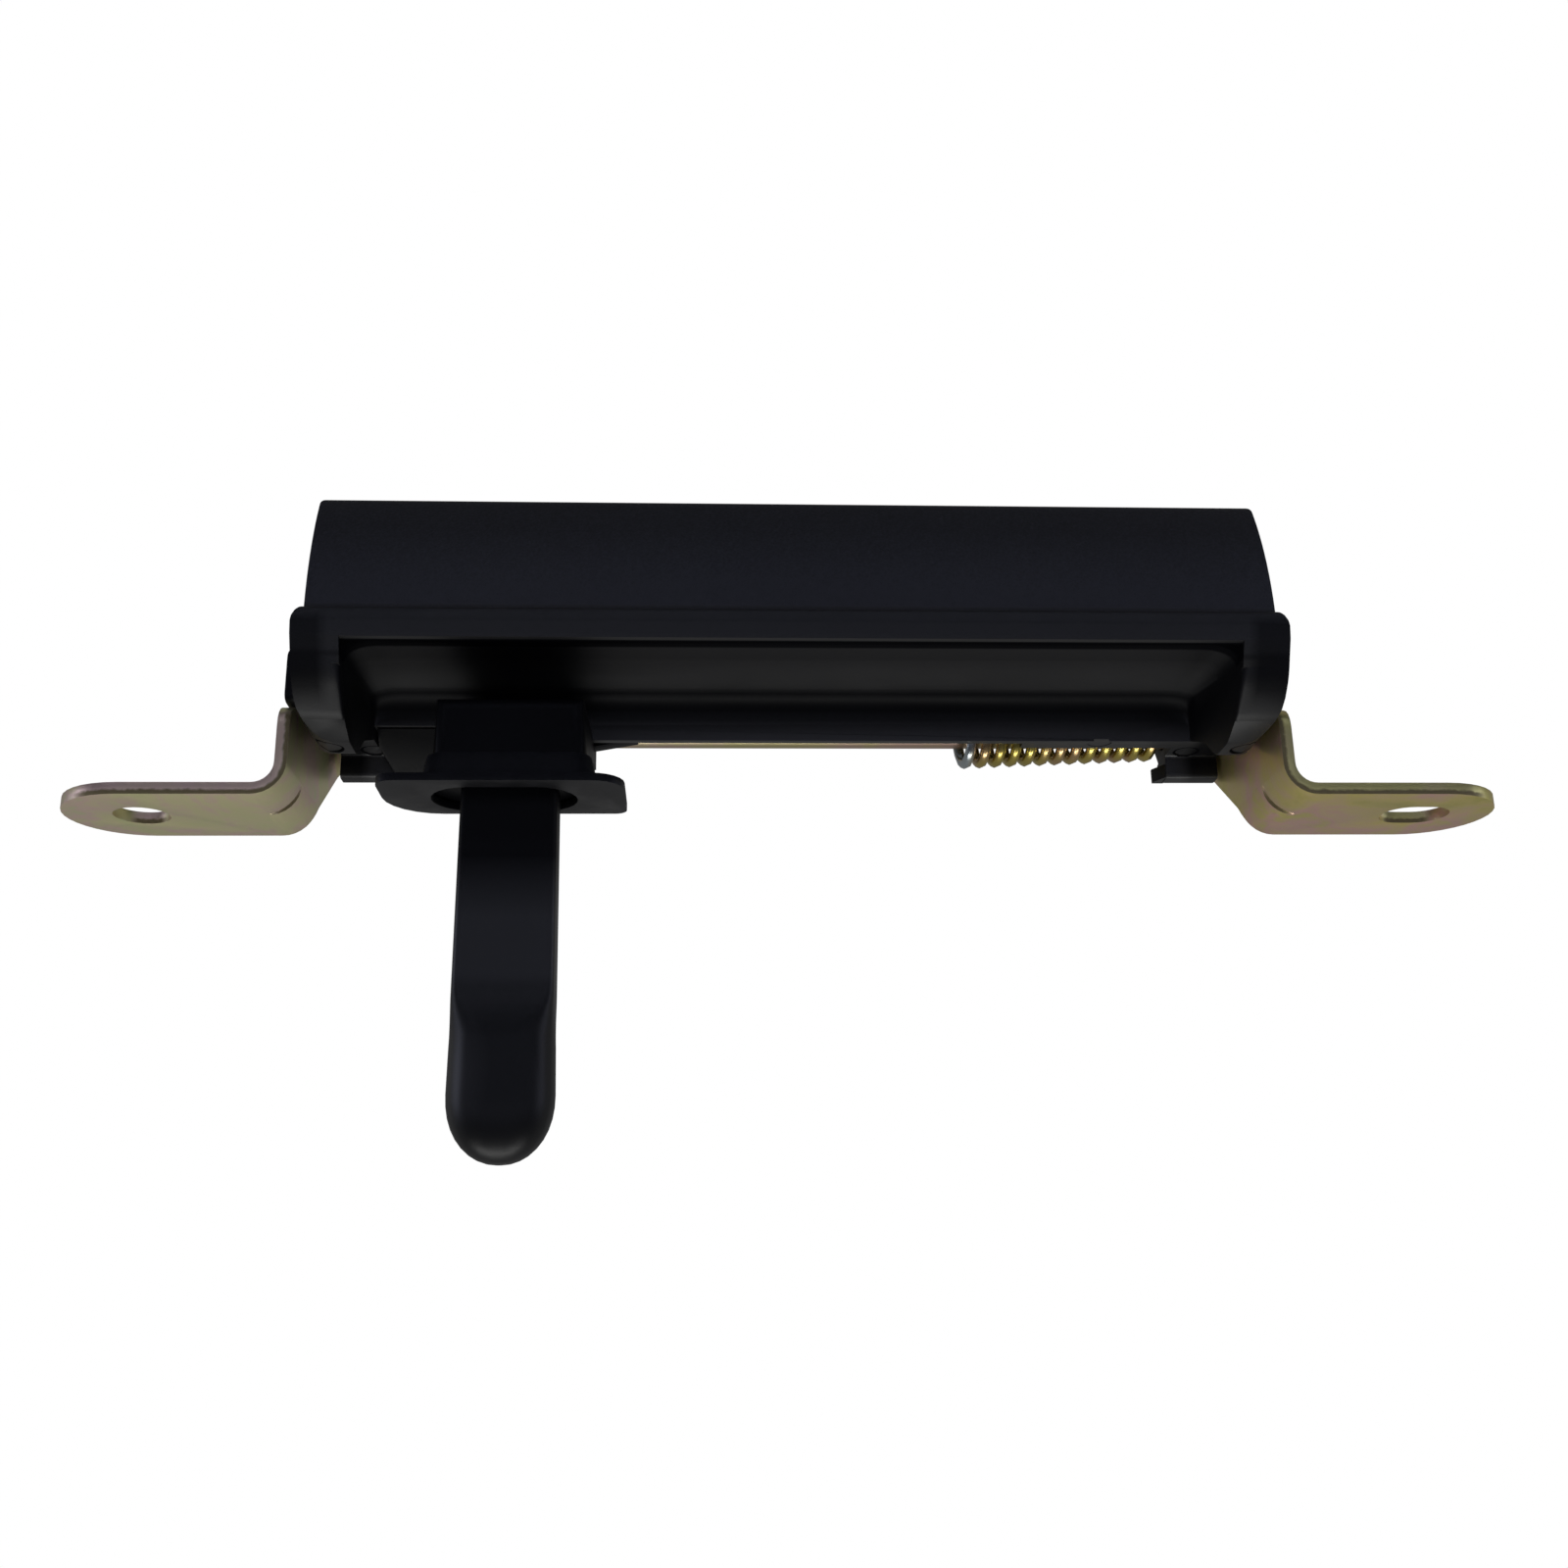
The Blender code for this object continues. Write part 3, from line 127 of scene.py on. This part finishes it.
# How the handle's gloss differs by place, as painted highlights and painted shade: the change, then
# the edges of the region
MOULDED_GLOSS = 0.5
PAINTED_LIGHT_GLOSS_REGIONS = (
    (0.70, ROOF + (("z", -8.5, -5.5),)),                                        # painted highlight on the scoop's roof
    (-0.95, ROOF + (("z", -3.0, 12.0),)),                                       # painted shade under the lip
    (-0.42, SCOOP + (("z", -6.0, -8.0), ("y", 21.0, 23.0))),                    # painted shade on the rear fillet
    (0.42, SCOOP + (("z", -9.5, -10.5), ("y", 22.0, 19.0))),                    # painted light on the back wall
    # painted shade in the groove under the lip
    (-0.60, GROOVE),
    (0.12, (("z", 21.2, 21.8), ("y", 20.5, 21.5), ("y", 29.1, 28.7))),          # painted highlight on the lip
    (-0.36, (("side", 74.5, 76.5), ("y", 13.0, 16.0), ("y", 27.5, 25.5))),      # painted shade on the caps
)

END_WALL_PAINTED_SHADE = 0.75                  # share of the gloss lost on the scoop's end walls, as painted shade
LEAST_GLOSS, GROOVE_PAINTED_SHADE_GLOSS = 0.08, 0.01  # the least that these leave, in general and in the groove, where it is painted shade

# The marks of the mould's ejector pins: x and z of each, then its size, in millimetres
EJECTOR_PINS = ((-76.65, 5.75), (77.65, 5.75), (-73.85, -18.0), (74.85, -18.0))
EJECTOR_RADIUS = 2.2
EJECTOR_RING = (0.18, 0.38)             # off the rim, where the ring starts to fade and is gone

# The lever's gloss, with painted shade along y near the boot and on the knob, and a painted
# highlight on a spot of the knob
BOOT_END = (-21.0, -11.0)               # y, mm
STEM_GLOSS, BOOT_END_PAINTED_SHADE_GLOSS = 0.70, 0.10
KNOB_PAINTED_SHADE = 0.36
PAINTED_HIGHLIGHT_SPOT = (-55.5, -45.5)             # x and y, mm
PAINTED_HIGHLIGHT_SHAPE = 1.5                  # how much taller than wide it is
PAINTED_HIGHLIGHT_SIZE = (2.0, 13.0)           # off its middle, where it starts to fade and is gone, mm
PAINTED_HIGHLIGHT_GAIN = 0.40

# The rubber's gloss, then the duller gloss on its faces that look up at the camera, which is
# painted shade
RUBBER_GLOSS, RUBBER_TOP_PAINTED_SHADE_GLOSS = 0.5, 0.14

# The torn band on the bracket's cut edges, in millimetres in from the ears' lower face
EAR_BEND = (87.5, 5.5)                  # side and y of the centre of each ear's bend
EAR_BEND_RADIUS = 5.5                   # of the same face, where it turns up along the leg
TORN_BAND = (0.9, 1.3)                  # how deep the band is, and where it is gone
TORN_RAGGED = 0.7                       # how much its border wanders
EDGE_TINT = 0.75                        # share of the rim's colour on a cut edge

# Each black, from its darkest level to its palest
SATIN_BLACK = (0.0036, 0.0048)
GRAINED_BLACK = (0.0062, 0.0280)
LEVER_BLACK = (0.0034, 0.0046)
RUBBER_BLACK = (0.0065, 0.0105)

# Each roughness, from its least to its most
MOULDED_ROUGHNESS = (0.46, 0.54)
LEVER_ROUGHNESS = (0.40, 0.48)
RUBBER_ROUGHNESS = (0.42, 0.55)
SHEET_ROUGHNESS = (0.34, 0.46)
BAR_ROUGHNESS = (0.24, 0.36)
WIRE_ROUGHNESS = (0.20, 0.30)
CLIP_ROUGHNESS = (0.30, 0.42)
PANEL_ROUGHER = 0.08
TORN_ROUGHER = 0.2


# Selecting and editing

def select_only(obj):
    bpy.ops.object.select_all(action="DESELECT")
    obj.hide_set(False)
    obj.select_set(True)
    bpy.context.view_layer.objects.active = obj


def softened_copy(node, name, body, edge, segments):
    """A copy of a solid with its doubles merged and its sharp edges rounded over by edge, in mm."""
    made = nodes[node].copy()
    made.data = nodes[node].data.copy()
    made.name = made.data.name = name
    made.parent = None
    for key in list(made.keys()):
        del made[key]
    bpy.context.scene.collection.objects.link(made)
    select_only(made)
    bpy.ops.object.mode_set(mode="EDIT")
    bpy.ops.mesh.select_all(action="SELECT")
    bpy.ops.mesh.remove_doubles(threshold=SAME_POINT)
    bpy.ops.mesh.dissolve_limited(angle_limit=math.radians(FLAT_ANGLE))
    bpy.ops.object.mode_set(mode="OBJECT")
    if edge:
        soften = made.modifiers.new("edges", "BEVEL")
        soften.width = edge * MM
        soften.segments = segments
        soften.limit_method = "ANGLE"
        soften.angle_limit = math.radians(SHARP_ANGLE)
        soften.miter_outer = "MITER_ARC"
        soften.use_clamp_overlap = True
        soften.loop_slide = True
        bpy.ops.object.modifier_apply(modifier="edges")
    bpy.ops.object.shade_smooth_by_angle(angle=math.radians(SMOOTH_ANGLE))
    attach(made, body)
    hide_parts(node)
    return made


def dress(obj, material):
    """The object wears this material alone."""
    obj.data.materials.clear()
    obj.data.materials.append(material)
    for polygon in obj.data.polygons:
        polygon.material_index = 0


# Node trees

def opaque(colour, level=1.0):
    """A colour as a socket takes it, scaled to a level."""
    return tuple(level * part for part in colour) + (1.0,)


class Finish:
    """A material's node tree, with short names for the nodes that its finish is made of."""

    def __init__(self, name):
        self.material = bpy.data.materials.new(name)
        self.material.use_nodes = True
        self.tree = self.material.node_tree
        self.shader = self.tree.nodes["Principled BSDF"]
        coordinates = self.add("ShaderNodeTexCoord").outputs
        self.place = coordinates["Object"]
        self.x, self.y, self.z = self.parts(self.place)
        self.side = self.math("ABSOLUTE", self.x)
        self.facing_x, self.facing_y, self.facing_z = self.parts(coordinates["Normal"])

    def add(self, kind, **settings):
        node = self.tree.nodes.new(kind)
        for key, value in settings.items():
            setattr(node, key, value)
        return node

    def feed(self, socket, value):
        if isinstance(value, bpy.types.NodeSocket):
            self.tree.links.new(value, socket)
        else:
            socket.default_value = value

    def parts(self, vector):
        node = self.add("ShaderNodeSeparateXYZ")
        self.feed(node.inputs[0], vector)
        return node.outputs

    def math(self, operation, a, b=0.0, clamp=False):
        node = self.add("ShaderNodeMath", operation=operation, use_clamp=clamp)
        self.feed(node.inputs[0], a)
        self.feed(node.inputs[1], b)
        return node.outputs[0]

    def total(self, first, *others):
        for other in others:
            first = self.math("ADD", first, other)
        return first

    def product(self, first, *others):
        for other in others:
            first = self.math("MULTIPLY", first, other)
        return first

    def past(self, value, mark):
        """How far a coordinate lies past a mark, which is in millimetres."""
        return self.math("SUBTRACT", value, mark * MM)

    def reach(self, a, b):
        """The straight distance that two distances at right angles make."""
        squares = self.math("POWER", a, 2.0), self.math("POWER", b, 2.0)
        return self.math("SQRT", self.total(*squares))

    def band(self, value, low, high, to_low=0.0, to_high=1.0):
        """The value's place between low and high, brought between two others."""
        node = self.add("ShaderNodeMapRange", clamp=True)
        self.feed(node.inputs["Value"], value)
        for key, number in zip(("From Min", "From Max", "To Min", "To Max"),
                               (low, high, to_low, to_high)):
            node.inputs[key].default_value = number
        return node.outputs[0]

    def fading(self, distance, span, level=1.0):
        """A level that holds up to the first distance, in mm, and is gone at the second."""
        return self.band(distance, span[0] * MM, span[1] * MM, level, 0.0)

    def region(self, *edges):
        """Full inside every soft edge and nothing outside."""
        return self.product(*(self.band(getattr(self, axis), nothing * MM, full * MM)
                              for axis, nothing, full in edges))

    def stretched(self, scale):
        """The place with each axis scaled: a pattern grows longer along an axis below 1."""
        node = self.add("ShaderNodeMapping")
        self.feed(node.inputs["Vector"], self.place)
        node.inputs["Scale"].default_value = scale
        return node.outputs[0]

    def noise(self, scale, detail=2.0, rough=0.5, place=None, distortion=0.0):
        """A cloudy pattern from 0 to 1. The scale is about how many clouds fit in a metre."""
        node = self.add("ShaderNodeTexNoise")
        self.feed(node.inputs["Vector"], place or self.place)
        node.inputs["Scale"].default_value = scale
        node.inputs["Detail"].default_value = detail
        node.inputs["Roughness"].default_value = rough
        node.inputs["Distortion"].default_value = distortion
        return node.outputs["Fac"]

    def pebbles(self, scale):
        """Rounded grains, about as many to a metre as the scale says."""
        node = self.add("ShaderNodeTexVoronoi", feature="SMOOTH_F1")
        self.feed(node.inputs["Vector"], self.place)
        node.inputs["Scale"].default_value = scale
        return node.outputs["Distance"]

    def mix(self, factor, a, b):
        node = self.add("ShaderNodeMix", data_type="RGBA")
        self.feed(node.inputs[0], factor)
        self.feed(node.inputs[6], a)
        self.feed(node.inputs[7], b)
        return node.outputs[2]

    def black(self, factor, levels):
        """The cool black of the mouldings, between a dark and a pale level."""
        return self.mix(factor, *(opaque(BLACK_TINT, level) for level in levels))

    def ramp(self, factor, stops, level=1.0):
        node = self.add("ShaderNodeValToRGB")
        self.feed(node.inputs[0], factor)
        elements = node.color_ramp.elements
        while len(elements) < len(stops):
            elements.new(0.5)
        for element, (place, colour) in zip(elements, stops):
            element.position = place
            element.color = opaque(colour, level)
        return node.outputs[0]

    def relief(self, height, distance, strength):
        """A bumped normal. The distance is in millimetres."""
        node = self.add("ShaderNodeBump")
        node.inputs["Strength"].default_value = strength
        node.inputs["Distance"].default_value = distance * MM
        self.feed(node.inputs["Height"], height)
        return node.outputs[0]

    def set(self, **sockets):
        names = {
            "colour": "Base Color", "rough": "Roughness", "metal": "Metallic", "normal": "Normal",
            "gloss": "Specular IOR Level", "glow_colour": "Emission Color",
            "glow": "Emission Strength",
        }
        for key, value in sockets.items():
            self.feed(self.shader.inputs[names[key]], value)
        return self.material


# Finishes

def ejector_marks(f):
    """The thin rings that the mould's ejector pins leave on faces that look down the photo."""
    rings = 0.0
    for pin_x, pin_z in EJECTOR_PINS:
        off_centre = f.reach(f.past(f.x, pin_x), f.past(f.z, pin_z))
        off_rim = f.math("ABSOLUTE", f.past(off_centre, EJECTOR_RADIUS))
        rings = f.total(rings, f.fading(off_rim, EJECTOR_RING))
    faces_down = f.band(f.facing_y, -0.7, -0.5, 1.0, 0.0)
    return f.product(rings, faces_down)


def handle_gloss(f):
    """Gloss by place, carrying painted highlights and painted shade; duller on the scoop's end
    walls and lowest in the groove as painted shade, and lowest in the ejector marks.
    """
    gloss = MOULDED_GLOSS
    for change, edges in PAINTED_LIGHT_GLOSS_REGIONS:
        gloss = f.total(gloss, f.product(f.region(*edges), change))
    # Painted shade: the scoop's end walls, which face sideways, lose gloss
    faces_sideways = f.band(f.math("ABSOLUTE", f.facing_x), 0.30, 0.75)
    end_wall = f.product(faces_sideways, f.region(WITHIN_CAPS))
    gloss = f.product(gloss, f.math("SUBTRACT", 1.0, f.product(end_wall, END_WALL_PAINTED_SHADE)))
    least = f.band(f.region(*GROOVE), 0.2, 0.8, LEAST_GLOSS, GROOVE_PAINTED_SHADE_GLOSS)
    return f.product(f.math("MAXIMUM", gloss, least),
                     f.math("SUBTRACT", 1.0, ejector_marks(f), clamp=True))


def moulded_handle_finish():
    """Black moulding: a fine leather grain on the panel, painted paler near the lip as painted
    light, a smoother satin lip and scoop.
    """
    f = Finish("grained_black_moulding")
    panel = f.region(PANEL)
    broad = f.noise(38.0, detail=3.0, rough=0.55)
    fine = f.noise(4200.0)
    creases = f.noise(1900.0, detail=3.0, rough=0.6)
    grain = f.total(f.product(f.pebbles(2600.0), 0.9), creases)
    # Painted light: the panel's colour is paler near the lip and darker towards its top.
    painted_light_near_lip = f.band(f.y, 29.0 * MM, 44.0 * MM, 0.75, -0.40)
    speckle_and_painted_light = f.total(grain, f.product(broad, 0.3), painted_light_near_lip)
    satin = f.black(f.band(broad, 0.35, 0.7), SATIN_BLACK)
    grained = f.black(f.band(speckle_and_painted_light, 0.4, 1.5), GRAINED_BLACK)
    rough = f.total(f.product(panel, PANEL_ROUGHER), f.band(broad, 0.3, 0.75, *MOULDED_ROUGHNESS))
    height = f.total(f.product(grain, panel), f.product(fine, 0.35))
    return f.set(colour=f.mix(panel, satin, grained), rough=rough, gloss=handle_gloss(f),
                 normal=f.relief(height, 0.05, 1.0))


def satin_lever_finish():
    """Black satin moulding, with painted shade near the boot and on the knob, and a painted
    highlight on a spot of the knob.
    """
    f = Finish("satin_black_moulding")
    broad = f.noise(55.0, detail=3.0, place=f.stretched((1.0, 0.45, 1.0)))
    fine = f.noise(3600.0)
    clear_of_boot, at_boot = (mark * MM for mark in BOOT_END)
    # Painted shade: the gloss falls from the stem towards the boot, and drops on the knob
    gloss_shaded_to_boot = f.band(f.y, clear_of_boot, at_boot, STEM_GLOSS, BOOT_END_PAINTED_SHADE_GLOSS)
    gloss_with_painted_shade = f.math("SUBTRACT", gloss_shaded_to_boot, f.product(f.region(KNOB), KNOB_PAINTED_SHADE))
    # Painted highlight: a shinier spot on the knob
    spot_x, spot_y = PAINTED_HIGHLIGHT_SPOT
    across = f.product(f.past(f.x, spot_x), PAINTED_HIGHLIGHT_SHAPE)
    off_highlight_spot = f.reach(across, f.past(f.y, spot_y))
    gloss = f.total(gloss_with_painted_shade, f.fading(off_highlight_spot, PAINTED_HIGHLIGHT_SIZE, PAINTED_HIGHLIGHT_GAIN))
    return f.set(colour=f.black(f.band(broad, 0.35, 0.7), LEVER_BLACK), gloss=gloss,
                 rough=f.band(broad, 0.3, 0.7, *LEVER_ROUGHNESS),
                 normal=f.relief(fine, 0.012, 0.5))


def rubber_finish():
    """Moulded rubber with a little dust, and painted shade: duller gloss on the faces that look up
    at the camera.
    """
    f = Finish("black_rubber")
    fine = f.noise(2500.0, detail=3.0, rough=0.55)
    dust = f.noise(260.0, detail=4.0, rough=0.6)
    return f.set(colour=f.black(f.band(dust, 0.45, 0.75), RUBBER_BLACK),
                 # Painted shade: duller gloss on the faces that look up at the camera
                 gloss=f.band(f.facing_z, 0.35, 0.8, RUBBER_GLOSS, RUBBER_TOP_PAINTED_SHADE_GLOSS),
                 rough=f.band(dust, 0.3, 0.7, *RUBBER_ROUGHNESS),
                 normal=f.relief(fine, 0.02, 0.6))


def yellow_zinc(f, along=(1.0, 1.0, 1.0), level=1.0):
    """The colour of yellow passivated zinc: greenish straw on the left, yellower on the right."""
    clouds = f.noise(62.0, detail=3.0, rough=0.55, place=f.stretched(along), distortion=0.6)
    small = f.noise(420.0, detail=3.0, rough=0.6)
    patchy = f.total(f.product(clouds, 0.85), f.product(small, 0.15))
    return f.mix(f.region(STRAW_TO_YELLOW), f.ramp(patchy, STRAW_ZINC, level),
                 f.ramp(patchy, YELLOW_ZINC, level))


def bracket_finish():
    """Yellow zinc on rolled sheet. Its cut edges are brighter, with a torn band along one side."""
    f = Finish("yellow_zinc_sheet")
    bend_side, bend_y = EAR_BEND
    inward = f.math("MINIMUM", f.past(f.side, bend_side), 0.0)
    under = f.math("MINIMUM", f.past(f.y, bend_y), 0.0)
    depth = f.math("SUBTRACT", EAR_BEND_RADIUS * MM, f.reach(inward, under))
    ragged = f.total(depth, f.product(f.noise(900.0), TORN_RAGGED * MM))
    on_edge = f.band(f.math("ABSOLUTE", f.facing_z), 0.75, 0.9)
    torn = f.product(on_edge, f.fading(ragged, TORN_BAND))
    rim = f.mix(f.region(STRAW_TO_YELLOW), opaque(PINK_RIM), opaque(YELLOW_RIM))
    sheet = f.mix(f.product(on_edge, EDGE_TINT), yellow_zinc(f), rim)
    rolled = f.noise(300.0, detail=3.0, rough=0.6, place=f.stretched((0.08, 1.0, 1.0)))
    pits = f.noise(1500.0, detail=3.0, rough=0.6)
    height = f.total(f.product(rolled, 0.5), f.product(pits, 0.5))
    rough = f.total(f.band(pits, 0.3, 0.7, *SHEET_ROUGHNESS), f.product(torn, TORN_ROUGHER))
    return f.set(colour=f.mix(torn, sheet, opaque(TORN_STEEL)), metal=0.85, rough=rough,
                 normal=f.relief(height, 0.02, 0.7))


def rod_finish():
    """Yellow zinc on a drawn bar."""
    f = Finish("yellow_zinc_bar")
    drawn = f.noise(500.0, place=f.stretched((0.03, 1.0, 1.0)))
    return f.set(colour=yellow_zinc(f, along=(0.6, 1.0, 1.0), level=0.72), metal=0.9,
                 rough=f.band(drawn, 0.3, 0.7, *BAR_ROUGHNESS), normal=f.relief(drawn, 0.008, 0.5))


def spring_finish():
    """Yellow zinc on spring wire, blue-grey at its left end."""
    f = Finish("yellow_zinc_wire")
    drawn = f.noise(700.0)
    gold = f.ramp(f.noise(120.0), WIRE_ZINC)
    return f.set(colour=f.mix(f.region(BLUED_END), gold, opaque(BLUED_WIRE)), metal=0.95,
                 rough=f.band(drawn, 0.3, 0.7, *WIRE_ROUGHNESS),
                 normal=f.relief(drawn, 0.005, 0.5))


def clip_finish():
    """Oiled spring steel."""
    f = Finish("oiled_spring_steel")
    fine = f.noise(900.0, detail=3.0, rough=0.6)
    return f.set(colour=f.mix(fine, opaque(OILED_DARK), opaque(OILED_PALE)), metal=0.9,
                 rough=f.band(fine, 0.3, 0.7, *CLIP_ROUGHNESS), normal=f.relief(fine, 0.006, 0.5))


# Solid, piece, body, slot, radius of its rounded edges in mm and their segments, finish
PIECES = (
    ("pull_handle", "handle_shell", "handle", "grained_black", 0.35, 3, moulded_handle_finish),
    ("release_lever", "lever_moulding", "handle", "satin_black", 0.35, 3, satin_lever_finish),
    ("lever_boot", "boot", "handle", "black_rubber", 0.2, 2, rubber_finish),
    ("stop_buffer", "buffer", "handle", "black_rubber", 0.25, 2, rubber_finish),
    ("mounting_bracket", "bracket_sheet", "bracket", "yellow_zinc", 0.16, 2, bracket_finish),
    ("pivot_rod", "rod", "bracket", "spring_zinc", 0.1, 2, rod_finish),
    ("return_spring", "spring", "bracket", "spring_zinc", 0, 0, spring_finish),
    ("rod_clip", "clip", "bracket", "bright_steel", 0.08, 2, clip_finish),
)
for node, name, body, slot, edge, segments, finish in PIECES:
    dress(softened_copy(node, name, body, edge, segments), finish())


# Floor, light and camera

def stage_glow(name, strength, seen):
    """The shape just added glows, and either only the camera sees it or it only lights."""
    obj = bpy.context.object
    obj.name = name
    dress(obj, Finish(name).set(colour=opaque((0, 0, 0)), rough=1.0, gloss=0.0,
                                glow_colour=opaque((1, 1, 1)), glow=strength))
    obj.visible_camera = seen
    obj.visible_diffuse = obj.visible_glossy = not seen
    obj.visible_shadow = False


def floor_and_backdrop():
    """The photo's plain white ground, and a glowing sheet under it that lights from below."""
    low = solid_bounds[0][2] - FLOOR_GAP
    bpy.ops.object.select_all(action="DESELECT")
    bpy.ops.mesh.primitive_plane_add(size=FLOOR_SIZE, location=(0, 0, low))
    stage_glow("floor", 1.0, True)
    bpy.ops.mesh.primitive_plane_add(size=BOUNCE_SIZE, location=(0, 0, low - BOUNCE_GAP))
    stage_glow("floor_bounce", FLOOR_BOUNCE, False)
    bpy.ops.mesh.primitive_uv_sphere_add(radius=BACKDROP_RADIUS, segments=48, ring_count=24)
    stage_glow("backdrop", 1.0, True)


def room_light():
    """A dim room, with a long low window on the lever's side and soft strips overhead."""
    world = bpy.data.worlds.new("room")
    world.use_nodes = True
    background = world.node_tree.nodes["Background"]
    background.inputs["Color"].default_value = opaque(SKY)
    background.inputs["Strength"].default_value = ROOM_GLOW
    bpy.context.scene.world = world
    for name, place, aim, size, power, colour in LAMPS:
        light = bpy.data.lights.new(name, "AREA")
        light.shape = "RECTANGLE"
        light.size, light.size_y = size
        light.energy = power
        light.color = colour
        lamp = bpy.data.objects.new(name, light)
        lamp.location = place
        lamp.rotation_euler = (Vector(aim) - Vector(place)).to_track_quat("-Z", "Y").to_euler()
        bpy.context.scene.collection.objects.link(lamp)


def photo_camera():
    """The photograph's viewpoint: nearly overhead, from the lever's side."""
    pitch, yaw, roll = (math.radians(a) for a in (CAMERA_PITCH, CAMERA_YAW, CAMERA_ROLL))
    ahead = Vector((math.cos(pitch) * math.sin(yaw), math.sin(pitch),
                    -math.cos(pitch) * math.cos(yaw)))
    level_up = Vector((-math.sin(pitch) * math.sin(yaw), math.cos(pitch),
                       math.sin(pitch) * math.cos(yaw)))
    level_right = Vector((math.cos(yaw), 0, math.sin(yaw)))
    right = math.cos(roll) * level_right - math.sin(roll) * level_up
    up = math.sin(roll) * level_right + math.cos(roll) * level_up
    data = bpy.data.cameras.new("photo_camera")
    data.sensor_width = SENSOR_WIDTH
    data.lens = LENS
    data.clip_start = CLIP_START
    camera = bpy.data.objects.new("photo_camera", data)
    turn = Matrix((right, up, -ahead)).transposed().to_4x4()
    camera.matrix_world = Matrix.Translation(CAMERA_PLACE) @ turn
    bpy.context.scene.collection.objects.link(camera)
    bpy.context.scene.camera = camera


floor_and_backdrop()
room_light()
photo_camera()
bpy.context.scene.view_settings.view_transform = "Standard"
bpy.context.scene.view_settings.look = "None"
